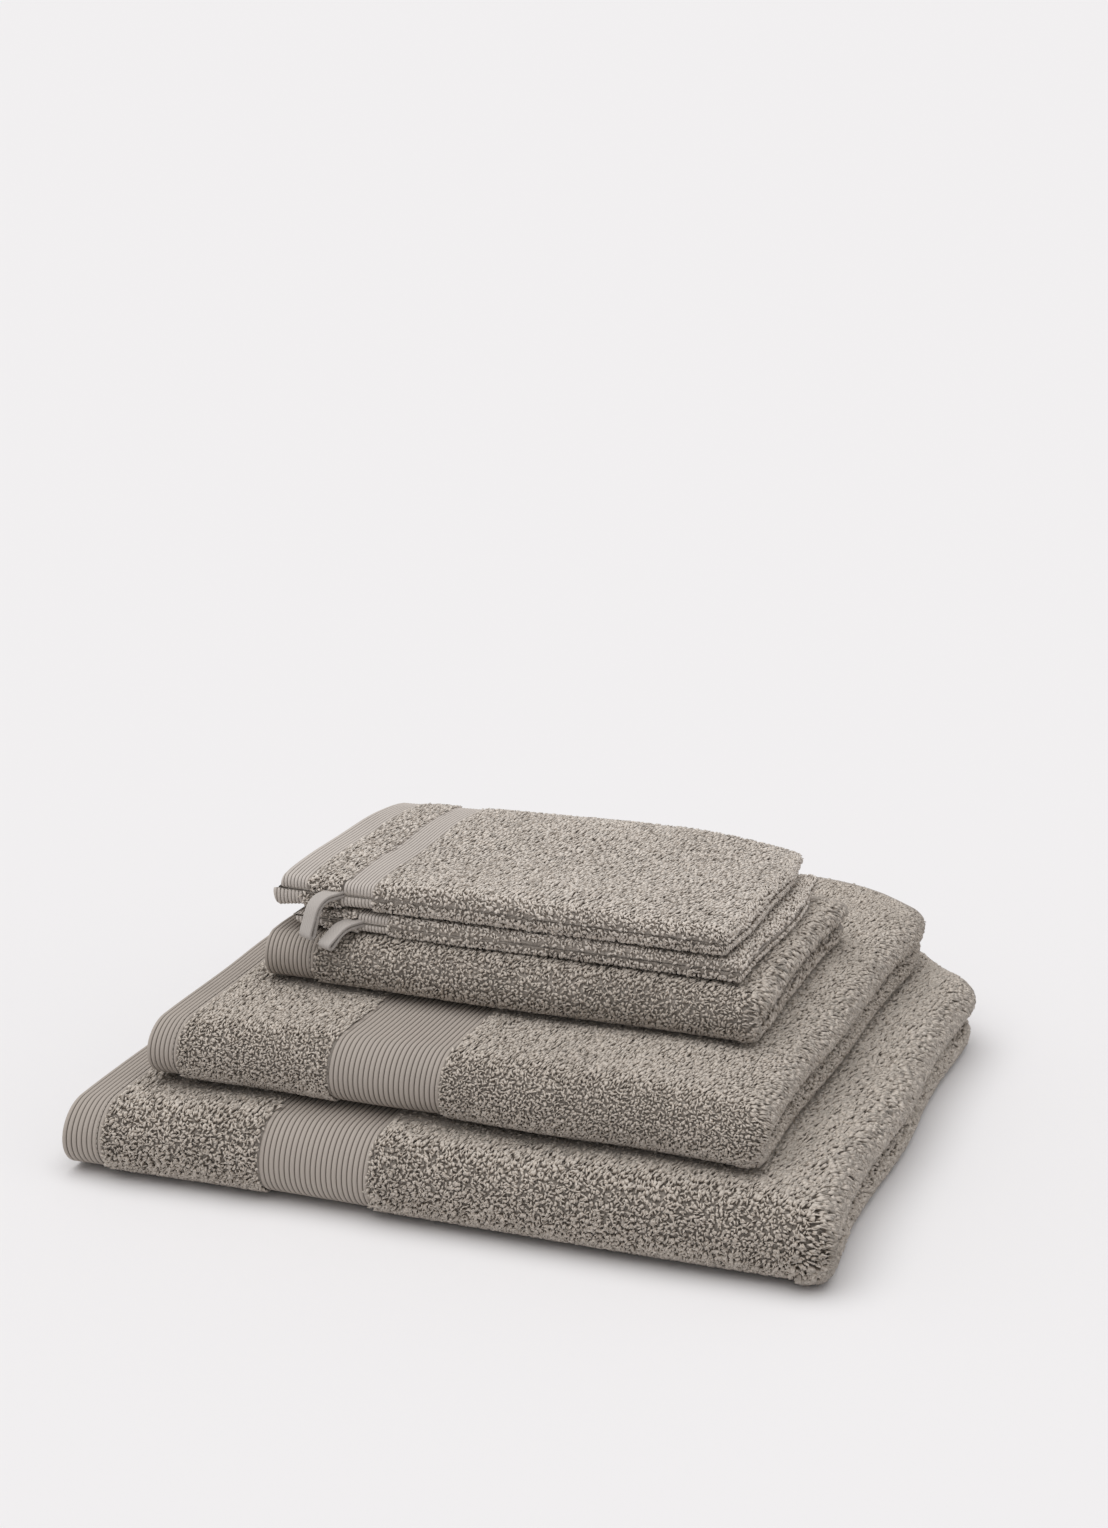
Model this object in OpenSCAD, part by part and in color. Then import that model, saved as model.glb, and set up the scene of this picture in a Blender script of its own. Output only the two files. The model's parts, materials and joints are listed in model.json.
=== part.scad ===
// Bath towel set: a bath towel, a hand towel and a guest towel, each folded into a
// flat packet with its long fold at the front, and two wash mitts stacked on top.
// The origin is the middle of the bath towel's underside. X runs along the front
// folds, Y runs from the folds to the open back edges, and Z is up.

/* [Bath towel] */
// Length of the folded bath towel along its front fold
bath_l = 347; // [300:1:420]
// Depth of the folded bath towel from the front fold to the back edges
bath_d = 336; // [290:1:410]
// Thickness of the folded bath towel, eight layers of terry
bath_t = 38; // [28:0.5:48]
// Width of the ribbed hem at the end of the bath towel
bath_hem_w = 20; // [12:1:30]
// Width of the terry strip between that hem and the border
bath_strip_w = 75; // [40:1:100]
// Width of the ribbed border woven into the bath towel
bath_border_w = 52; // [25:1:70]

/* [Hand towel] */
// Length of the folded hand towel along its front fold
hand_l = 286; // [240:1:345]
// Depth of the folded hand towel from the front fold to the back edges
hand_d = 302; // [240:1:365]
// Thickness of the folded hand towel, eight layers of terry
hand_t = 33; // [26:0.5:42]
// Width of the ribbed hem at the end of the hand towel
hand_hem_w = 16; // [10:1:25]
// Width of the terry strip between that hem and the border
hand_strip_w = 74; // [40:1:95]
// Width of the ribbed border woven into the hand towel
hand_border_w = 52; // [25:1:65]
// Set-back of the hand towel from the bath towel's hemmed end
hand_left = 29; // [0:1:50]
// Set-back of the hand towel from the bath towel's front fold
hand_front = 25.5; // [0:0.5:50]
// Turn of the hand towel on the bath towel, in degrees
hand_turn = -1.2; // [-3:0.1:3]

/* [Guest towel] */
// Length of the folded guest towel along its front fold
guest_l = 234; // [195:1:285]
// Depth of the folded guest towel from the front fold to the back edges
guest_d = 152; // [125:1:185]
// Thickness of the folded guest towel, four layers of terry
guest_t = 24.5; // [19:0.5:30]
// Width of the ribbed hem at the end of the guest towel
guest_hem_w = 25; // [12:1:30]
// Set-back of the guest towel from the hand towel's hemmed end
guest_left = 32; // [0:1:45]
// Set-back of the guest towel from the hand towel's front fold
guest_front = 52.5; // [0:0.5:80]
// Turn of the guest towel on the hand towel, in degrees
guest_turn = 0.7; // [-3:0.1:3]

/* [Wash mitts] */
// Length of a wash mitt from the open end to the closed end
mitt_l = 214; // [180:1:255]
// Width of a wash mitt across its two long seams
mitt_d = 136; // [112:1:165]
// Thickness of the lower mitt, pressed by the one on it
lower_mitt_t = 10.5; // [8.5:0.5:13]
// Thickness of the upper mitt
upper_mitt_t = 14; // [11:0.5:17]
// Width of the ribbed cuff at the open end
mitt_hem_w = 14; // [9:1:18]
// Width of the terry strip between the cuff and the border
mitt_strip_w = 18; // [10:1:25]
// Width of the ribbed border woven into a mitt
mitt_border_w = 15; // [8:1:22]
// Set-back of the lower mitt from the guest towel's hemmed end
lower_mitt_left = 10; // [0:0.5:20]
// Set-back of the lower mitt from the guest towel's front fold
lower_mitt_front = 12; // [6:0.5:20]
// Shift of the upper mitt along the lower mitt, towards the open end
upper_mitt_shift = 7; // [0:0.5:12]
// Height of the flat pocket between the two panels of a mitt
pocket_gap = 1; // [0.6:0.1:1.5]
// Width of the seam allowance inside a mitt
seam_w = 6; // [4:0.5:8]
// Set-back of the seam allowance from the mitt's outer edge
seam_inset = 1; // [0.5:0.1:2]

/* [Hanging loops] */
// Width of the tape of a hanging loop
tape_w = 8; // [6:0.5:10]
// Thickness of the tape folded double
tape_t = 2.6; // [2:0.1:3.2]
// Turn of the loops towards the open end of the mitts, in degrees
loop_turn = 25; // [0:1:35]
// Distance of the upper loop's middle from the open end of the upper mitt
upper_loop_from_end = 26; // [20:1:32]
// Bend radius of the upper loop where it droops
upper_bend_r = 9; // [7:0.5:11]
// Angle through which the upper loop droops
upper_droop = 72; // [55:1:80]
// Length of the straight stretch beyond the upper loop's bend
upper_tail = 9.5; // [5:0.5:12]
// Bend radius of the lower loop where it droops
lower_bend_r = 12; // [9:0.5:14]
// Angle through which the lower loop droops
lower_droop = 38; // [25:1:45]
// Length of the straight stretch beyond the lower loop's bend
lower_tail = 6; // [3:0.5:8]

/* [Cloth and sewing] */
// Width of the narrow side hems along the long edges of the towels
side_hem_w = 7; // [4:0.5:10]
// Depth of the woven border of a mitt below its surface
mitt_border_t = 1.2; // [0.8:0.1:1.8]
// Width of the sewing thread's line
thread_w = 0.8; // [0.5:0.1:1.2]
// Depth of the sewing thread's line
thread_t = 0.6; // [0.4:0.1:1]
// Distance of the sewing thread from the inner edge of a hem
thread_inset = 1.6; // [1.2:0.1:2.4]
// Set-back of the lower fold lobe behind the upper one at the closed end
lobe_step = 2; // [0:0.5:5]
// Set-back of each inner layer at the hemmed end
end_step = 3; // [1:0.5:5]
// Clear gap between two pieces that lie on each other
gap = 0.3; // [0.2:0.1:0.6]
// Clear gap between the two hanging loops, measured across the tape
loop_gap = 1; // [0.6:0.1:2]
// Radius of the tape's thickened root, where it turns at the seam
root_r = 1.6; // [1.6:0.1:2]
// Set-back of that root from each edge of the tape
root_inset = 0.4; // [0.2:0.1:0.8]

/* [Hidden] */
$fn = 96;
bath_layers = 8;
hand_layers = 8;
guest_layers = 4;
over = 5;
arc_steps = 12;
hand_z = bath_t + gap;
guest_z = hand_z + hand_t + gap;
lower_mitt_z = guest_z + guest_t + gap;
upper_mitt_z = lower_mitt_z + lower_mitt_t + gap;
eye_r = 0.8 * tape_t;
root_gap = root_r + tape_w / 2 * sin(loop_turn) + gap;
lower_loop_from_end = upper_loop_from_end - upper_mitt_shift
    + (tape_w + loop_gap) / cos(loop_turn);
cloth_colour = "#9b9189";
band_colour = "#8f857d";
hem_colour = "#867c74";
thread_colour = "#6f665f";
tape_colour = "#a9a29c";

// ---- Places: each one stands on the piece below it ----

module place_bath() {
    translate([-bath_l / 2, -bath_d / 2, 0]) children();
}

module place_hand() {
    place_bath() translate([hand_left, hand_front, hand_z])
        rotate([0, 0, hand_turn]) children();
}

module place_guest() {
    place_hand() translate([guest_left, guest_front, guest_z - hand_z])
        rotate([0, 0, guest_turn]) children();
}

module place_lower_mitt() {
    place_guest() translate([lower_mitt_left, lower_mitt_front, lower_mitt_z - guest_z])
        children();
}

module place_upper_mitt() {
    place_lower_mitt() translate([-upper_mitt_shift, 0, upper_mitt_z - lower_mitt_z])
        children();
}

// ---- Helpers: sections drawn upright and pulled along X or Y ----

// Pulls a section drawn in (Y, Z) along X
module along_x(length) {
    rotate([90, 0, 90]) linear_extrude(length) children();
}

// Pulls a section drawn in (X, Z) along Y
module along_y(length) {
    translate([0, length, 0]) rotate([90, 0, 0]) linear_extrude(length) children();
}

// Section across a folded towel: half-round fold in front, square edges behind
module fold_section(d, t) {
    translate([t / 2, t / 2]) circle(d = t);
    translate([t / 2, 0]) square([d - t / 2, t]);
}

// Section along a folded towel: two round fold lobes at the closed end
module lobe_section(l, t) {
    lobe_r = t / 4;
    for (lobe = [[0, l - lobe_step], [t / 2, l]]) {
        translate([0, lobe[0]]) square([lobe[1] - lobe_r, t / 2]);
        translate([lobe[1] - lobe_r, lobe[0] + lobe_r]) circle(r = lobe_r);
    }
}

// What lies outside a fold section that is inset all round
module outside_fold(d, t, inset) {
    difference() {
        translate([-over, -over]) square([d + 2 * over, t + 2 * over]);
        translate([inset, inset]) fold_section(d + 2 * over, t - 2 * inset);
    }
}

// One wrapped layer: from inset to inset + wall, open at the back
module fold_layer(d, t, inset, wall) {
    difference() {
        translate([inset, inset]) fold_section(d - inset, t - 2 * inset);
        translate([inset + wall, inset + wall])
            fold_section(d + over, t - 2 * (inset + wall));
    }
}

// ---- Towels ----

// Terry of a folded towel, with room for the hems, the border and the side hems
module towel_cloth(l, d, t, layers, hem_w, strip_w, border_w) {
    layer = t / layers;
    has_core = layers > 4;
    difference() {
        intersection() {
            along_x(l) fold_section(d - side_hem_w, t);
            along_y(d) lobe_section(l, t);
        }
        if (has_core) {
            translate([-over, 0, 0]) along_x(hem_w + over) outside_fold(d, t, 2 * layer);
            translate([-over, -over, -over])
                cube([2 * end_step + over, d + 2 * over, t + 2 * over]);
        } else {
            translate([-over, -over, -over])
                cube([hem_w + over, d + 2 * over, t + 2 * over]);
        }
        if (border_w > 0) {
            translate([hem_w + strip_w, 0, 0]) along_x(border_w) outside_fold(d, t, layer);
        }
    }
}

// Sewing line round the outer hem
module towel_stitching(d, t, hem_w) {
    translate([hem_w - thread_inset, 0, 0])
        along_x(thread_w) fold_layer(d - side_hem_w, t, 0, thread_t);
}

// Ribbed hem of the end that lies outside
module towel_outer_hem(d, t, layers, hem_w) {
    difference() {
        along_x(hem_w) fold_layer(d - side_hem_w, t, 0, t / layers);
        translate([hem_w - thread_inset, 0, 0]) along_x(thread_w) outside_fold(d, t, thread_t);
    }
}

// Ribbed hem of the other end, one layer further in
module towel_inner_hem(d, t, layers, hem_w) {
    layer = t / layers;
    translate([end_step, 0, 0])
        along_x(hem_w - end_step) fold_layer(d - side_hem_w, t, layer, layer - gap);
}

// Ribbed border in the outer layer
module towel_border(d, t, layers, hem_w, strip_w, border_w) {
    translate([hem_w + strip_w, 0, 0])
        along_x(border_w) fold_layer(d - side_hem_w, t, 0, t / layers);
}

// Narrow hems of all layers, one over the other along the back
module towel_side_hems(l, d, t, layers) {
    layer = t / layers;
    for (i = [0 : layers - 1]) {
        depth_in = min(i, layers - 1 - i, 2);
        start = depth_in * end_step;
        translate([start, d - side_hem_w, i * layer + gap])
            cube([l - t / 4 - lobe_step - start, side_hem_w, layer - 2 * gap]);
    }
}

// ---- Wash mitts ----

// Section across a mitt, round at both seams
module mitt_section(t, inset) {
    r = t / 2 - inset;
    translate([t / 2, t / 2]) circle(r = r);
    translate([mitt_d - t / 2, t / 2]) circle(r = r);
    translate([t / 2, inset]) square([mitt_d - t, 2 * r]);
}

// Whole outer shape of a mitt
module mitt_block(t) {
    intersection() {
        along_x(mitt_l) mitt_section(t, 0);
        along_y(mitt_d) union() {
            square([mitt_l - t / 2, t]);
            translate([mitt_l - t / 2, t / 2]) circle(d = t);
        }
    }
}

// Keeps the half of a mitt above the pocket, or below it
module mitt_half(t, top) {
    height = (t - pocket_gap) / 2;
    intersection() {
        children();
        translate([-over, -over, top ? height + pocket_gap : -over])
            cube([mitt_l + 2 * over, mitt_d + 2 * over, height + over]);
    }
}

// Terry panel between the cuff and the closed end
module mitt_panel(t, top) {
    mitt_half(t, top) difference() {
        mitt_block(t);
        translate([-over, -over, -over])
            cube([mitt_hem_w + over, mitt_d + 2 * over, t + 2 * over]);
        translate([mitt_hem_w + mitt_strip_w, 0, 0]) along_x(mitt_border_w) difference() {
            translate([-over, -over]) square([mitt_d + 2 * over, t + 2 * over]);
            mitt_section(t, mitt_border_t);
        }
    }
}

// Ribbed cuff of one panel at the open end
module mitt_cuff(t, top) {
    mitt_half(t, top) along_x(mitt_hem_w) mitt_section(t, 0);
}

// Ribbed border in the skin of one panel
module mitt_border(t, top) {
    mitt_half(t, top) translate([mitt_hem_w + mitt_strip_w, 0, 0])
        along_x(mitt_border_w) difference() {
            mitt_section(t, 0);
            mitt_section(t, mitt_border_t);
        }
}

// Seam allowance between the panels, round the three closed sides
module mitt_seam(t) {
    translate([0, 0, (t - pocket_gap) / 2]) linear_extrude(pocket_gap) difference() {
        translate([0, seam_inset]) square([mitt_l - seam_inset, mitt_d - 2 * seam_inset]);
        translate([-over, seam_inset + seam_w])
            square([mitt_l + over - seam_inset - seam_w, mitt_d - 2 * (seam_inset + seam_w)]);
    }
}

// ---- Hanging loops ----

// Points on an arc round a centre, with angles counted from upright
function arc(centre, r, from, to) = [
    for (i = [0 : arc_steps])
        let (a = from + (to - from) * i / arc_steps) centre + r * [sin(a), cos(a)]
];

// Side view of a drooping loop, from its root at (0, 0) out to its eye
module loop_side(bend_r, droop, tail) {
    half = tape_t / 2;
    bend = [0, -bend_r];
    eye = bend + bend_r * [sin(droop), cos(droop)] + tail * [cos(droop), -sin(droop)];
    flare = acos(half / eye_r);
    polygon(concat(
        [[-half / 2, -half], [-half / 2, half]],
        arc(bend, bend_r + half, 0, droop),
        arc(eye, eye_r, droop - flare, droop + 180 + flare),
        arc(bend, bend_r - half, droop, 0)
    ));
}

// Loop that leaves the front seam of a mitt and turns towards its open end
module mitt_loop(t, from_end, bend_r, droop, tail) {
    translate([from_end, -root_gap, t / 2]) rotate([0, 0, -loop_turn])
        rotate([90, 0, -90]) translate([0, 0, -tape_w / 2]) {
            linear_extrude(tape_w) loop_side(bend_r, droop, tail);
            translate([0, 0, root_inset]) cylinder(r = root_r, h = tape_w - 2 * root_inset);
        }
}

// ---- Bath towel ----

module bath_towel_cloth() {
    color(cloth_colour) place_bath() towel_cloth(
        bath_l, bath_d, bath_t, bath_layers, bath_hem_w, bath_strip_w, bath_border_w);
}

module bath_towel_outer_hem() {
    color(hem_colour) place_bath() towel_outer_hem(bath_d, bath_t, bath_layers, bath_hem_w);
}

module bath_towel_inner_hem() {
    color(band_colour) place_bath() towel_inner_hem(bath_d, bath_t, bath_layers, bath_hem_w);
}

module bath_towel_border() {
    color(band_colour) place_bath() towel_border(
        bath_d, bath_t, bath_layers, bath_hem_w, bath_strip_w, bath_border_w);
}

module bath_towel_side_hems() {
    color(hem_colour) place_bath() towel_side_hems(bath_l, bath_d, bath_t, bath_layers);
}

module bath_towel_stitching() {
    color(thread_colour) place_bath() towel_stitching(bath_d, bath_t, bath_hem_w);
}

// ---- Hand towel ----

module hand_towel_cloth() {
    color(cloth_colour) place_hand() towel_cloth(
        hand_l, hand_d, hand_t, hand_layers, hand_hem_w, hand_strip_w, hand_border_w);
}

module hand_towel_outer_hem() {
    color(hem_colour) place_hand() towel_outer_hem(hand_d, hand_t, hand_layers, hand_hem_w);
}

module hand_towel_inner_hem() {
    color(band_colour) place_hand() towel_inner_hem(hand_d, hand_t, hand_layers, hand_hem_w);
}

module hand_towel_border() {
    color(band_colour) place_hand() towel_border(
        hand_d, hand_t, hand_layers, hand_hem_w, hand_strip_w, hand_border_w);
}

module hand_towel_side_hems() {
    color(hem_colour) place_hand() towel_side_hems(hand_l, hand_d, hand_t, hand_layers);
}

module hand_towel_stitching() {
    color(thread_colour) place_hand() towel_stitching(hand_d, hand_t, hand_hem_w);
}

// ---- Guest towel ----

module guest_towel_cloth() {
    color(cloth_colour) place_guest() towel_cloth(
        guest_l, guest_d, guest_t, guest_layers, guest_hem_w, 0, 0);
}

module guest_towel_outer_hem() {
    color(hem_colour) place_guest() towel_outer_hem(
        guest_d, guest_t, guest_layers, guest_hem_w);
}

module guest_towel_inner_hem() {
    color(band_colour) place_guest() towel_inner_hem(
        guest_d, guest_t, guest_layers, guest_hem_w);
}

module guest_towel_side_hems() {
    color(hem_colour) place_guest() towel_side_hems(guest_l, guest_d, guest_t, guest_layers);
}

module guest_towel_stitching() {
    color(thread_colour) place_guest() towel_stitching(guest_d, guest_t, guest_hem_w);
}

// ---- Lower wash mitt ----

module lower_mitt_top_panel() {
    color(cloth_colour) place_lower_mitt() mitt_panel(lower_mitt_t, true);
}

module lower_mitt_bottom_panel() {
    color(cloth_colour) place_lower_mitt() mitt_panel(lower_mitt_t, false);
}

module lower_mitt_top_cuff() {
    color(hem_colour) place_lower_mitt() mitt_cuff(lower_mitt_t, true);
}

module lower_mitt_bottom_cuff() {
    color(hem_colour) place_lower_mitt() mitt_cuff(lower_mitt_t, false);
}

module lower_mitt_top_border() {
    color(band_colour) place_lower_mitt() mitt_border(lower_mitt_t, true);
}

module lower_mitt_bottom_border() {
    color(band_colour) place_lower_mitt() mitt_border(lower_mitt_t, false);
}

module lower_mitt_seam() {
    color(thread_colour) place_lower_mitt() mitt_seam(lower_mitt_t);
}

module lower_mitt_loop() {
    color(tape_colour) place_lower_mitt() mitt_loop(
        lower_mitt_t, lower_loop_from_end, lower_bend_r, lower_droop, lower_tail);
}

// ---- Upper wash mitt ----

module upper_mitt_top_panel() {
    color(cloth_colour) place_upper_mitt() mitt_panel(upper_mitt_t, true);
}

module upper_mitt_bottom_panel() {
    color(cloth_colour) place_upper_mitt() mitt_panel(upper_mitt_t, false);
}

module upper_mitt_top_cuff() {
    color(hem_colour) place_upper_mitt() mitt_cuff(upper_mitt_t, true);
}

module upper_mitt_bottom_cuff() {
    color(hem_colour) place_upper_mitt() mitt_cuff(upper_mitt_t, false);
}

module upper_mitt_top_border() {
    color(band_colour) place_upper_mitt() mitt_border(upper_mitt_t, true);
}

module upper_mitt_bottom_border() {
    color(band_colour) place_upper_mitt() mitt_border(upper_mitt_t, false);
}

module upper_mitt_seam() {
    color(thread_colour) place_upper_mitt() mitt_seam(upper_mitt_t);
}

module upper_mitt_loop() {
    color(tape_colour) place_upper_mitt() mitt_loop(
        upper_mitt_t, upper_loop_from_end, upper_bend_r, upper_droop, upper_tail);
}

bath_towel_cloth();
bath_towel_outer_hem();
bath_towel_inner_hem();
bath_towel_border();
bath_towel_side_hems();
bath_towel_stitching();
hand_towel_cloth();
hand_towel_outer_hem();
hand_towel_inner_hem();
hand_towel_border();
hand_towel_side_hems();
hand_towel_stitching();
guest_towel_cloth();
guest_towel_outer_hem();
guest_towel_inner_hem();
guest_towel_side_hems();
guest_towel_stitching();
lower_mitt_top_panel();
lower_mitt_bottom_panel();
lower_mitt_top_cuff();
lower_mitt_bottom_cuff();
lower_mitt_top_border();
lower_mitt_bottom_border();
lower_mitt_seam();
lower_mitt_loop();
upper_mitt_top_panel();
upper_mitt_bottom_panel();
upper_mitt_top_cuff();
upper_mitt_bottom_cuff();
upper_mitt_top_border();
upper_mitt_bottom_border();
upper_mitt_seam();
upper_mitt_loop();
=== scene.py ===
"""Bath towel set: three folded terry towels and two wash mitts with hanging loops.

Each towel is one sheet of cloth folded as the real one is: crosswise back and forth, then
lengthwise round the front. Its ribbed hems, its woven border, its side hems, its sewing
thread and its looped pile are pieces of their own on that sheet. Lengths are in
millimetres until a mesh is made.
"""

import json
import logging
import math
from collections.abc import Callable, Iterable
from dataclasses import dataclass, field
from enum import Enum

import bpy
import numpy as np
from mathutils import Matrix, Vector

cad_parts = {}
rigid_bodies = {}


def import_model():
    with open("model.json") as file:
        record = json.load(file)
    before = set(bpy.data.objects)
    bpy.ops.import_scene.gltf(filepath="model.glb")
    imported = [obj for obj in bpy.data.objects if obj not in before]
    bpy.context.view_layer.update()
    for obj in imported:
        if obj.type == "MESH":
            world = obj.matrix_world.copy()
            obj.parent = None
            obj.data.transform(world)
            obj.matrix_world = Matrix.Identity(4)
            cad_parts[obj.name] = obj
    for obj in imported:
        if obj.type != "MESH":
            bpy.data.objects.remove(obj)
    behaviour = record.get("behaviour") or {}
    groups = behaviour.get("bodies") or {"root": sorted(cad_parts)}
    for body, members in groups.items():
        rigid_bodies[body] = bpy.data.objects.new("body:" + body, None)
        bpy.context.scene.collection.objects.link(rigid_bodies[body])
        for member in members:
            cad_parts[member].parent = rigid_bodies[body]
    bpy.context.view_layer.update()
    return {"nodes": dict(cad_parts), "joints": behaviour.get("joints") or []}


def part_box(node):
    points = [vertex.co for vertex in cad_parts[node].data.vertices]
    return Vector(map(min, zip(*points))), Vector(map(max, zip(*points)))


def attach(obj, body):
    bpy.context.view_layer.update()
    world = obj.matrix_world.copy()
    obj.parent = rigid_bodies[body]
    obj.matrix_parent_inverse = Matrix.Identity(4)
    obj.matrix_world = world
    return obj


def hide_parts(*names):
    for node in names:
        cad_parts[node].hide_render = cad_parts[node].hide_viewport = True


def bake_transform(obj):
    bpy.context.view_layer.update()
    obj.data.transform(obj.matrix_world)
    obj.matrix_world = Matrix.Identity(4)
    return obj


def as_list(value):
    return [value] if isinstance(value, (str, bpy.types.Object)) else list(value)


Array = np.ndarray
Surface = Callable[[Array, Array], Array]
Lift = Callable[[Array, Array, Array], Array]
Colour = tuple[float, float, float]
Socket = bpy.types.NodeSocket

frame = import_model()
MM = 0.001
WAVE_PERIOD = math.tau / 20  # a Wave texture of scale 1 repeats after this length
EVEN_TONE = 0.6  # depth of cloth without ribs or pile, from 0 to 1
WAVES = 5  # how many waves a wandering line is made of
WAVES_PEAK = 2.6  # about how high they reach together
THINNEST = 0.2  # thickness share of a rounded edge at its rim
log = logging.getLogger("towels")


# ---- Finishes ----


class Weave(Enum):
    """How the yarn of a finish lies."""

    PILE = "looped pile"
    RIB = "flat rib"
    PLAIN = "plain weave"
    TWILL = "slanting tape weave"
    TWIST = "twisted thread"


@dataclass(frozen=True)
class Finish:
    """A cotton finish: its yarn colours, its weave and how rough it is.

    The mesh attribute "tone" is painted shade by depth, with some tint that differs at random:
    0 paints a point darkest, as between the yarns, and 1 lightest, as on top. The UV map
    "weave" gives its place on the flat cloth in metres.
    """

    name: str
    light: Colour
    # The colour painted where the shade value is 0: painted shade between the yarns and in the rib
    # grooves.
    shade_colour: Colour
    weave: Weave
    pitch: float = 0.8
    relief: float = 0.15
    roughness: float = 0.95
    specular: float = 0.2
    sheen: float = 0.25
    sheen_roughness: float = 0.6
    patches: float = 0.25
    patch_size: float = 28.0
    flecks: float = 0.3
    fleck_size: float = 1.4

    def material(self) -> bpy.types.Material:
        """Builds the node material.

        Returns:
            The material, or the one already made under this name.
        """
        made = bpy.data.materials.get(self.name)
        if made:
            return made
        made = bpy.data.materials.new(self.name)
        made.use_nodes = True
        tree = made.node_tree
        shader = tree.nodes["Principled BSDF"]
        shader.inputs["Roughness"].default_value = self.roughness
        shader.inputs["Specular IOR Level"].default_value = self.specular
        shader.inputs["Sheen Weight"].default_value = self.sheen
        shader.inputs["Sheen Roughness"].default_value = self.sheen_roughness
        shader.inputs["Sheen Tint"].default_value = (*self.light, 1)
        self._colour(tree, shader)
        self._bump(tree, shader)
        return made

    def _noise(self, tree: bpy.types.NodeTree, size: float, detail: float) -> bpy.types.Node:
        """Adds noise that is fixed to the cloth's place.

        Args:
            tree: The material's node tree.
            size: Size of its grain, in millimetres.
            detail: How many finer layers it has.

        Returns:
            The noise node.
        """
        where = tree.nodes.new("ShaderNodeTexCoord")
        noise = tree.nodes.new("ShaderNodeTexNoise")
        noise.inputs["Scale"].default_value = 1 / (size * MM)
        noise.inputs["Detail"].default_value = detail
        tree.links.new(where.outputs["Object"], noise.inputs["Vector"])
        return noise

    def _sum(
        self, tree: bpy.types.NodeTree, base: Socket, value: Socket, share: float
    ) -> Socket:
        """Adds a share of a value, centred on a half, to a base value.

        Args:
            tree: The material's node tree.
            base: The socket to add to.
            value: The socket whose variation is added.
            share: How much of it is added.

        Returns:
            The socket with the sum.
        """
        scaled = tree.nodes.new("ShaderNodeMath")
        scaled.operation = "MULTIPLY_ADD"
        scaled.inputs[1].default_value = share
        scaled.inputs[2].default_value = -share / 2
        tree.links.new(value, scaled.inputs[0])
        total = tree.nodes.new("ShaderNodeMath")
        total.operation = "ADD"
        tree.links.new(base, total.inputs[0])
        tree.links.new(scaled.outputs[0], total.inputs[1])
        return total.outputs[0]

    def _colour(self, tree: bpy.types.NodeTree, shader: bpy.types.Node) -> None:
        """Mixes yarn colours by painted shade of depth, with random patches and flecks of tint.

        Args:
            tree: The material's node tree.
            shader: Its Principled shader.
        """
        # This attribute paints the colour darker where points lie deep, as painted shade; the
        # noise below adds random tint.
        depth = tree.nodes.new("ShaderNodeAttribute")
        depth.attribute_name = "tone"
        broad = self._noise(tree, self.patch_size, 2)
        small = self._noise(tree, self.fleck_size, 2)
        tone = self._sum(tree, depth.outputs["Fac"], broad.outputs["Fac"], self.patches)
        tone = self._sum(tree, tone, small.outputs["Fac"], self.flecks)
        mix = tree.nodes.new("ShaderNodeMix")
        mix.data_type = "RGBA"
        mix.inputs["A"].default_value = (*self.shade_colour, 1)
        mix.inputs["B"].default_value = (*self.light, 1)
        tree.links.new(tone, mix.inputs["Factor"])
        tree.links.new(mix.outputs["Result"], shader.inputs["Base Color"])

    def _pattern(self, tree: bpy.types.NodeTree) -> Socket:
        """Makes the nodes of this weave's yarns.

        Args:
            tree: The material's node tree.

        Returns:
            The socket with the yarns' height.
        """
        if self.weave is Weave.PILE:
            return self._noise(tree, self.pitch, 3).outputs["Fac"]
        where = tree.nodes.new("ShaderNodeUVMap")
        where.uv_map = "weave"
        wave = tree.nodes.new("ShaderNodeTexWave")
        wave.inputs["Scale"].default_value = WAVE_PERIOD / (self.pitch * MM)
        wave.inputs["Distortion"].default_value = 0.6
        wave.bands_direction = "DIAGONAL" if self.weave in (Weave.TWILL, Weave.TWIST) else "Y"
        tree.links.new(where.outputs["UV"], wave.inputs["Vector"])
        if self.weave is not Weave.PLAIN:
            return wave.outputs["Fac"]
        other = tree.nodes.new("ShaderNodeTexWave")
        other.inputs["Scale"].default_value = WAVE_PERIOD / (self.pitch * MM)
        other.bands_direction = "X"
        tree.links.new(where.outputs["UV"], other.inputs["Vector"])
        crossed = tree.nodes.new("ShaderNodeMath")
        crossed.operation = "MULTIPLY"
        tree.links.new(wave.outputs["Fac"], crossed.inputs[0])
        tree.links.new(other.outputs["Fac"], crossed.inputs[1])
        return crossed.outputs[0]

    def _bump(self, tree: bpy.types.NodeTree, shader: bpy.types.Node) -> None:
        """Feeds the weave's height to the shader's normal.

        Args:
            tree: The material's node tree.
            shader: Its Principled shader.
        """
        bump = tree.nodes.new("ShaderNodeBump")
        bump.inputs["Strength"].default_value = 0.8
        bump.inputs["Distance"].default_value = self.relief * MM
        tree.links.new(self._pattern(tree), bump.inputs["Height"])
        tree.links.new(bump.outputs["Normal"], shader.inputs["Normal"])


# The pile's dark colour is painted shade at the loops' feet; its patches and flecks are random
# tint.
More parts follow.
